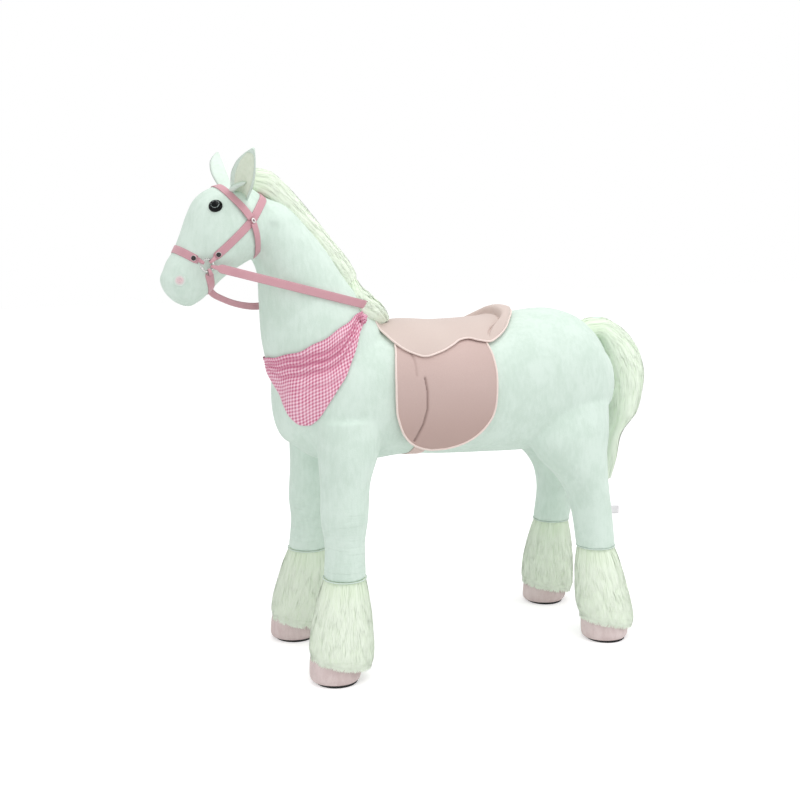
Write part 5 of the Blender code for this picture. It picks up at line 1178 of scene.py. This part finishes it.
def snap(name, core, way, node, cap=SNAP_BLACK, lift=0.0, inside=0.95, narrow=1.0):
    """A press stud on a strap: a domed cap in a rim. A narrow one is an oval that leans back."""
    foot, out = outermost(skin, core, way)
    base = foot + out * (STRAP_THICKNESS + lift)
    lean = unit(np.cross(out, unit(UP - np.array((0.5, 0, 0)))))
    for part, profile, finish, slot, nodes in (
            ("_cap", ((0, inside), (0.0016, inside), (0.0024, inside * 0.75), (0.0028, 1 / 9)), cap, "black_snap",
             [node]),
            ("_rim", ((0, inside), (0, 1.06), (0.0008, 1.06), (0.0012, 1), (0.0012, inside)), SNAP_WHITE,
             "white_snap", [])):
        shape = dome(base, out, [(high, share * SNAP_RADIUS) for high, share in profile])
        shape = shape - (((shape - base) @ lean) * (1 - narrow))[..., None] * lean
        dress(piece(name + part, tube(shape), finish), "pony", slot, *nodes)


for name, side in SIDES:
    turn = math.radians(90 - margin - 7.0)
    snap("nose_snap_" + name, RING_CORE, nose_way * math.cos(turn) + RIGHT * side * math.sin(turn),
         "noseband_snap_" + name)
    snap("cheek_fastener_" + name, RING_CORE + cheek_way * 0.0325, RIGHT * side, "cheek_snap_" + name)
    snap("crossing_cap_" + name, JUNCTION, RIGHT * side, "crossing_stud_" + name, STUD_MIDDLE, 0.0042, 0.50, 0.72)


# Eyes and nostrils

EYE_ALONG, EYE_TURN_DEG, EYE_HEIGHT, EYE_RADIUS = 0.313, 48, 0.008, 0.0142
disc = round_section(1.0, DOME_SIDES)
for name, side in SIDES:
    angle = side * math.radians(EYE_TURN_DEG)
    bend = np.radians(np.linspace(-25, 88, 22))
    profile = np.stack([EYE_HEIGHT * np.sin(bend), EYE_RADIUS * np.cos(bend)], axis=-1)
    rings = dome(HEAD.at(EYE_ALONG, angle), HEAD.normal(EYE_ALONG, angle), profile)
    cloth = (np.cos(bend)[:, None, None] * disc).reshape(-1, 2)
    dress(piece("eye_dome_" + name, tube(rings), EYE, cloth), "pony", "black_glass", "eye_" + name)
    core = HEAD.oval(np.array(0.93))[0]
    spot, way = outermost(skin, core, unit(np.array((-0.5525, side * 0.050, 0.8625)) - core))
    first, second = across_of(way)

    def on_skin(place, lift):
        return outermost(skin, place - way * 0.03, way, 0.06)[0] + way * lift

    flat = np.linspace(0.05, 1, 9)[:, None, None] * disc
    places = spot + first * flat[..., :1] * 0.0138 + second * flat[..., 1:] * 0.0130
    patch = np.array([[on_skin(place, 0.0006) for place in row] for row in places])
    patch = np.concatenate([patch, patch[-1:] - way * 0.003])
    cloth = np.concatenate([flat, flat[-1:]]).reshape(-1, 2)
    dress(piece("nostril_patch_" + name, tube(patch), NOSTRIL_BLUSH, cloth), "pony", "pale_pink_plush")
    swirl = np.linspace(0, 5.5 * math.pi, 170)
    wind = (0.0008 + 0.0060 * (swirl / swirl[-1]) ** 0.8)[:, None]
    thread = spot + (first * np.cos(swirl)[:, None] * 1.1 + second * np.sin(swirl)[:, None] * 0.9) * wind
    thread = smoothed([on_skin(place, 0.0009) for place in thread], 2)
    trim("nostril_stitching_" + name, thread, np.broadcast_to(way, thread.shape), round_section(0.0008, 6), NOSTRIL,
         "pale_pink_plush")


# Reins, drawn on the line of their CAD solid

REIN_SLACK_LOOP_DEG, REIN_TWIST_DEG = 16.0, 45.0
rein_slack = Curve(((0.00, 8.0), (0.10, 30.0), (0.15, 40.0), (0.21, 39.0), (0.25, 35.0), (0.33, 28.0), (0.42, 20.5),
                    (0.55, 9.0), (0.66, 3.0), (0.75, 0.0), (1.00, 0.0)))


def rein_line():
    """The taut left rein's outer face, from its ring to the crest: the hull of the solid, seen across the strap."""
    points = points_of(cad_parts["reins"].data)
    points = points[points[:, 1] < 0.001]
    crest = points[np.argmax(points @ np.array((1.0, 0, 0)))]
    way = flat_way(RING_CORE, crest)
    plane = np.stack([(points - RING_CORE) @ way, points[:, 1]], axis=-1)
    plane = plane[plane[:, 0] > RING_RADIUS + 0.008]
    plane = np.concatenate([plane, plane * (1, -1)])
    kept = []
    for point in sorted(plane.tolist(), key=lambda row: (row[1], row[0])):
        while len(kept) > 1 and ((kept[-1][0] - kept[-2][0]) * (point[1] - kept[-2][1])
                                 <= (kept[-1][1] - kept[-2][1]) * (point[0] - kept[-2][0])):
            kept.pop()
        kept.append(point)
    start = (RING_RADIUS + 0.012, RING_SIDE + 0.0038 + STRAP_THICKNESS / 2)
    return way, np.array([(start[0], -start[1]), *kept, start])


def turned_down(way, degrees):
    """A way in the X Z plane turned towards the floor."""
    angle = np.radians(degrees)
    return np.stack([way[0] * np.cos(angle) + way[2] * np.sin(angle), 0 * angle,
                     way[2] * np.cos(angle) - way[0] * np.sin(angle)], axis=-1)


rein_way, flat = rein_line()
flat = smoothed(even(flat, 240), 4)
slack = np.where(flat[:, 1] > 0, rein_slack(flat[:, 0] / flat[:, 0].max())[:, 0], 0.0)
ways = turned_down(rein_way, smoothed(slack, 3))
for row in np.flatnonzero(slack > 0.5):
    beside = outermost(skin, RING_CORE + ways[row] * flat[row, 0], RIGHT)[0][1]
    flat[row, 1] = max(flat[row, 1], beside + STRAP_THICKNESS + 0.002)
flat = smoothed(flat, 4)
line = RING_CORE + ways * flat[:, :1] + RIGHT * flat[:, 1:]
ahead = unit(np.gradient(line, axis=0))
normal = unit(np.cross(np.cross(ways, RIGHT), ahead))
outside = RIGHT * np.sign(flat[:, 1:]) + rein_way * (flat[:, :1] > flat[:, 0].max() - 0.012) * 4
normal = np.where((normal * outside).sum(-1, keepdims=True) > 0, normal, -normal)
over = unit(np.cross(ahead, normal))
over = np.where(over[:, 2:] > 0, over, -over)
twist = np.radians(REIN_TWIST_DEG) * smoothed(np.clip((slack - 6) / 24, 0, 1), 20)[:, None]
normal = normal * np.cos(twist) + over * np.sin(twist)
made = bridle_strap("rein_strap", rein_way, line - normal * STRAP_THICKNESS / 2, normal, "reins", 0.0180,
                    turned_down(rein_way, REIN_SLACK_LOOP_DEG))
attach(made, "reins")


# Neckerchief

KERCHIEF_TIP, KERCHIEF_DEPTH, KERCHIEF_X = 0.550, 0.250, -0.241
kerchief_edges = Curve(((-1.00, 0.970, 0.915), (-0.83, 0.930, 0.850), (-0.67, 0.870, 0.760), (-0.50, 0.745, 0.600),
                        (-0.35, 0.595, 0.500), (-0.20, 0.540, 0.460), (-0.127, 0.538, 0.440), (-0.05, 0.546, 0.418),
                        (0.00, 0.554, 0.375), (0.06, 0.566, 0.285), (0.13, 0.584, 0.190), (0.20, 0.608, 0.100),
                        (0.25, 0.628, 0.038), (0.295, 0.650, 0.000), (0.35, 0.690, 0.018), (0.41, 0.730, 0.120),
                        (0.46, 0.768, 0.250), (0.55, 0.840, 0.456), (0.62, 0.890, 0.650), (0.67, 0.925, 0.800),
                        (0.81, 0.968, 0.912), (1.00, 0.970, 0.915)))


def kerchief():
    """A folded triangle of cloth round the neck, pleated towards its knot.

    Gives its outer face, the ways out of it, its cloth coordinates in metres and how deep each point is folded.
    """
    share = np.linspace(-1, 1, 420, endpoint=False)
    down = np.linspace(0, 1, 90)
    edges = KERCHIEF_TIP + kerchief_edges(share) * KERCHIEF_DEPTH
    depth = edges[:, 0] - edges[:, 1]
    hem = np.clip(depth / 0.10, 0, 1)
    edges[:, 1] += hem * (0.0022 * np.abs(np.sin(share * 47)) + 0.0016 * np.sin(share * 23 + 1))
    edges[:, 0] += 0.0012 * np.sin(share * 39)
    base = np.empty((len(share), len(down), 3))
    ways = np.stack([-np.cos(share * math.pi), -np.sin(share * math.pi), 0 * share], axis=-1)
    for row, way in enumerate(ways):
        base[row] = between(np.array([outermost(skin, np.array((KERCHIEF_X, 0, level)), way, 0.19)[0]
                                      for level in np.linspace(*edges[row], 24)]), len(down))
    base = smoothed(np.concatenate([base[-16:], base, base[:16]]), 10)[16:-16]
    below = down * depth[:, None]
    spread = np.clip(depth, 0.030, 0.110)[:, None]
    line = below / spread + 0.10 * np.sin(share[:, None] * 9)
    valleys = np.zeros_like(below)
    for place, deep, wide in ((0.20, 0.8, 0.055), (0.34, 1.0, 0.045), (0.52, 0.7, 0.050), (0.80, 0.35, 0.045)):
        fade = np.clip(1.15 - np.abs(share[:, None] - 0.42) * (1.1 if place < 0.6 else 2.4), 0, 1)
        valleys += deep * fade * np.exp(-((line - place) / wide) ** 2)
    ripple = np.cos(21 * share[:, None] + 9 * below) * down * hem[:, None]
    lift = 0.0052 + 0.0018 * ripple - 0.0040 * np.clip(valleys, 0, 1)
    outer = base + ways[:, None] * lift[..., None]
    fall = np.cumsum(np.linalg.norm(np.diff(outer, axis=1), axis=-1), axis=1)
    fall = np.concatenate([np.zeros((len(share), 1)), fall], axis=1)
    return outer, ways[:, None], together(lengths_along(outer[:, 20])[:, None], fall), np.clip(valleys, 0, 1)


outer, outs, cloth, depth = kerchief()
inner = outer - outs * 0.0010
seam = np.linalg.norm(outer[0, 20] - outer[-1, 20])
cloth = np.concatenate([cloth, cloth[:1] * (0, 1) + (cloth[-1, 0, 0] + seam, 0)])
turned = [np.concatenate([grid, grid[:, ::-1]], axis=1) for grid in (cloth, np.concatenate([depth, depth[:1]]))]
rings = np.concatenate([outer, inner[:, ::-1]], axis=1)
rings = np.concatenate([rings, rings[:1]])
scarf = piece("kerchief_cloth", (rings.reshape(-1, 3), quads(*rings.shape[:2], True)), GINGHAM,
              turned[0].reshape(-1, 2))
# The fold depth sets the painted shade in the kerchief's folds.
folded(scarf, turned[1])
dress(scarf, "pony", "pink_cotton", "kerchief")


def knot():
    """The gathered knot of the neckerchief: cloth squeezed into a ball, pleated from its middle outwards."""
    low, high = (np.array(corner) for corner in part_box("kerchief_knot"))
    turn = math.radians(131)
    way = np.array((-math.cos(turn), -math.sin(turn), 0.10))
    bend = np.linspace(-1.2, 1.45, 26)[:, None]
    spin = full_turn(72)[None, :]
    pleat = np.cos(7 * spin + 1.6 * bend) * np.cos(bend) ** 0.5
    radius = 0.0082 * np.cos(bend) * (1 + 0.18 * pleat)
    tall = 0.0066 * np.sin(bend) * (1 + 0.12 * np.cos(3 * spin))
    first, second = across_of(way)
    middle = np.array((low[0] + 0.0030, low[1] + 0.0045, high[2] - 0.0035))
    rings = (middle + unit(way) * tall[..., None]
             + first * (radius * np.cos(spin))[..., None] + second * (radius * np.sin(spin) * 1.15)[..., None])
    return rings, together(spin * 0.011, bend * 0.014), np.clip(0.35 - 0.75 * pleat, 0, 1)


rings, cloth, depth = knot()
bundle = piece("kerchief_knot_folds", tube(rings), GINGHAM, cloth.reshape(-1, 2))
# The pleat depth sets the painted shade between the knot's pleats.
folded(bundle, depth)
dress(bundle, "pony", "pink_cotton", "kerchief_knot")


# The tag, the ring material and what is hidden

tag_low, tag_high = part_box("sewn_tag")
down = np.linspace(0, 1, 12)[:, None]
across = np.linspace(0, 1, 7)[None, :]
face = together(tag_low.x + (tag_high.x - tag_low.x) * down,
                (tag_low.y + tag_high.y) / 2 + 0.0015 * np.sin(down * 3.0),
                tag_low.z + (tag_high.z - tag_low.z) * across - 0.002 * down)
tag = dress(piece("tag_satin", slab(face, face + RIGHT * 0.0006), SATIN), "pony", "white_satin", "sewn_tag")
for finish, nodes in ((NICKEL, ["bridle_ring_left", "bridle_ring_right"]), (PLYWOOD, ["seat_board"]),
                      (WASHER, ["eye_washer_left", "eye_washer_right"]),
                      (PAINTED, ["neck_post", "frame_spine", "frame_cross_front", "frame_cross_rear",
                                 *("frame_leg_" + name for name, _, _ in LEGS)])):
    for node in nodes:
        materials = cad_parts[node].data.materials
        materials.clear()
        materials.append(finish.material)


# Stage, light and camera

SKY_LIGHT, FLOOR_GLOW = 0.79, 0.40


def stage():
    """A plain floor and backdrop that show white to the camera. The floor keeps the pony's shadow."""
    floor = Finish("floor", Base_Color=light((240, 240, 240)), Roughness=0.9, Specular_IOR_Level=0.0,
                   Emission_Strength=FLOOR_GLOW)
    floor.paint(glow=floor.mix(floor.seen(), (0, 0, 0), (255, 255, 255)))
    piece("floor", ([(-9, -9, 0), (9, -9, 0), (9, 9, 0), (-9, 9, 0)], [[0, 1, 2, 3]]), floor)
    world = bpy.data.worlds.new("studio")
    bpy.context.scene.world = world
    sky = Shading(world)
    strength = sky.seen() * (1.0 - SKY_LIGHT) + SKY_LIGHT
    backdrop = sky.tree.nodes["Background"]
    backdrop.inputs["Color"].default_value = light((255, 255, 255))
    sky.tree.links.new(strength.socket, backdrop.inputs["Strength"])


def lamp(name, place, aim, size, power):
    data = bpy.data.lights.new(name, 'AREA')
    data.shape = 'DISK'
    data.size = size
    data.energy = power
    made = bpy.data.objects.new(name, data)
    made.location = place
    made.rotation_euler = (Vector(aim) - Vector(place)).to_track_quat('-Z', 'Y').to_euler()
    bpy.context.scene.collection.objects.link(made)


stage()
lamp("high", (0.3, -0.6, 3.2), (0.0, 0.0, 0.6), 2.4, 29)
lamp("front", (-2.6, -1.6, 1.8), (-0.2, 0.0, 0.7), 1.6, 6.5)
lamp("rear", (2.4, -1.8, 1.9), (0.2, 0.0, 0.6), 1.6, 12)

camera = bpy.data.objects.new("camera", bpy.data.cameras.new("camera"))
camera.data.lens = 54.0
camera.data.sensor_width = 36.0
azimuth, elevation = math.radians(-22.9), math.radians(9.7)
back = Vector((math.sin(azimuth) * math.cos(elevation), -math.cos(azimuth) * math.cos(elevation),
               math.sin(elevation)))
camera.location = (-1.0867, -2.4557, 1.0323)
camera.rotation_mode = 'QUATERNION'
camera.rotation_quaternion = (-back).to_track_quat('-Z', 'Y')
camera.data.clip_end = 60
bpy.context.scene.collection.objects.link(camera)
bpy.context.scene.camera = camera
bpy.context.scene.view_settings.view_transform = 'Standard'
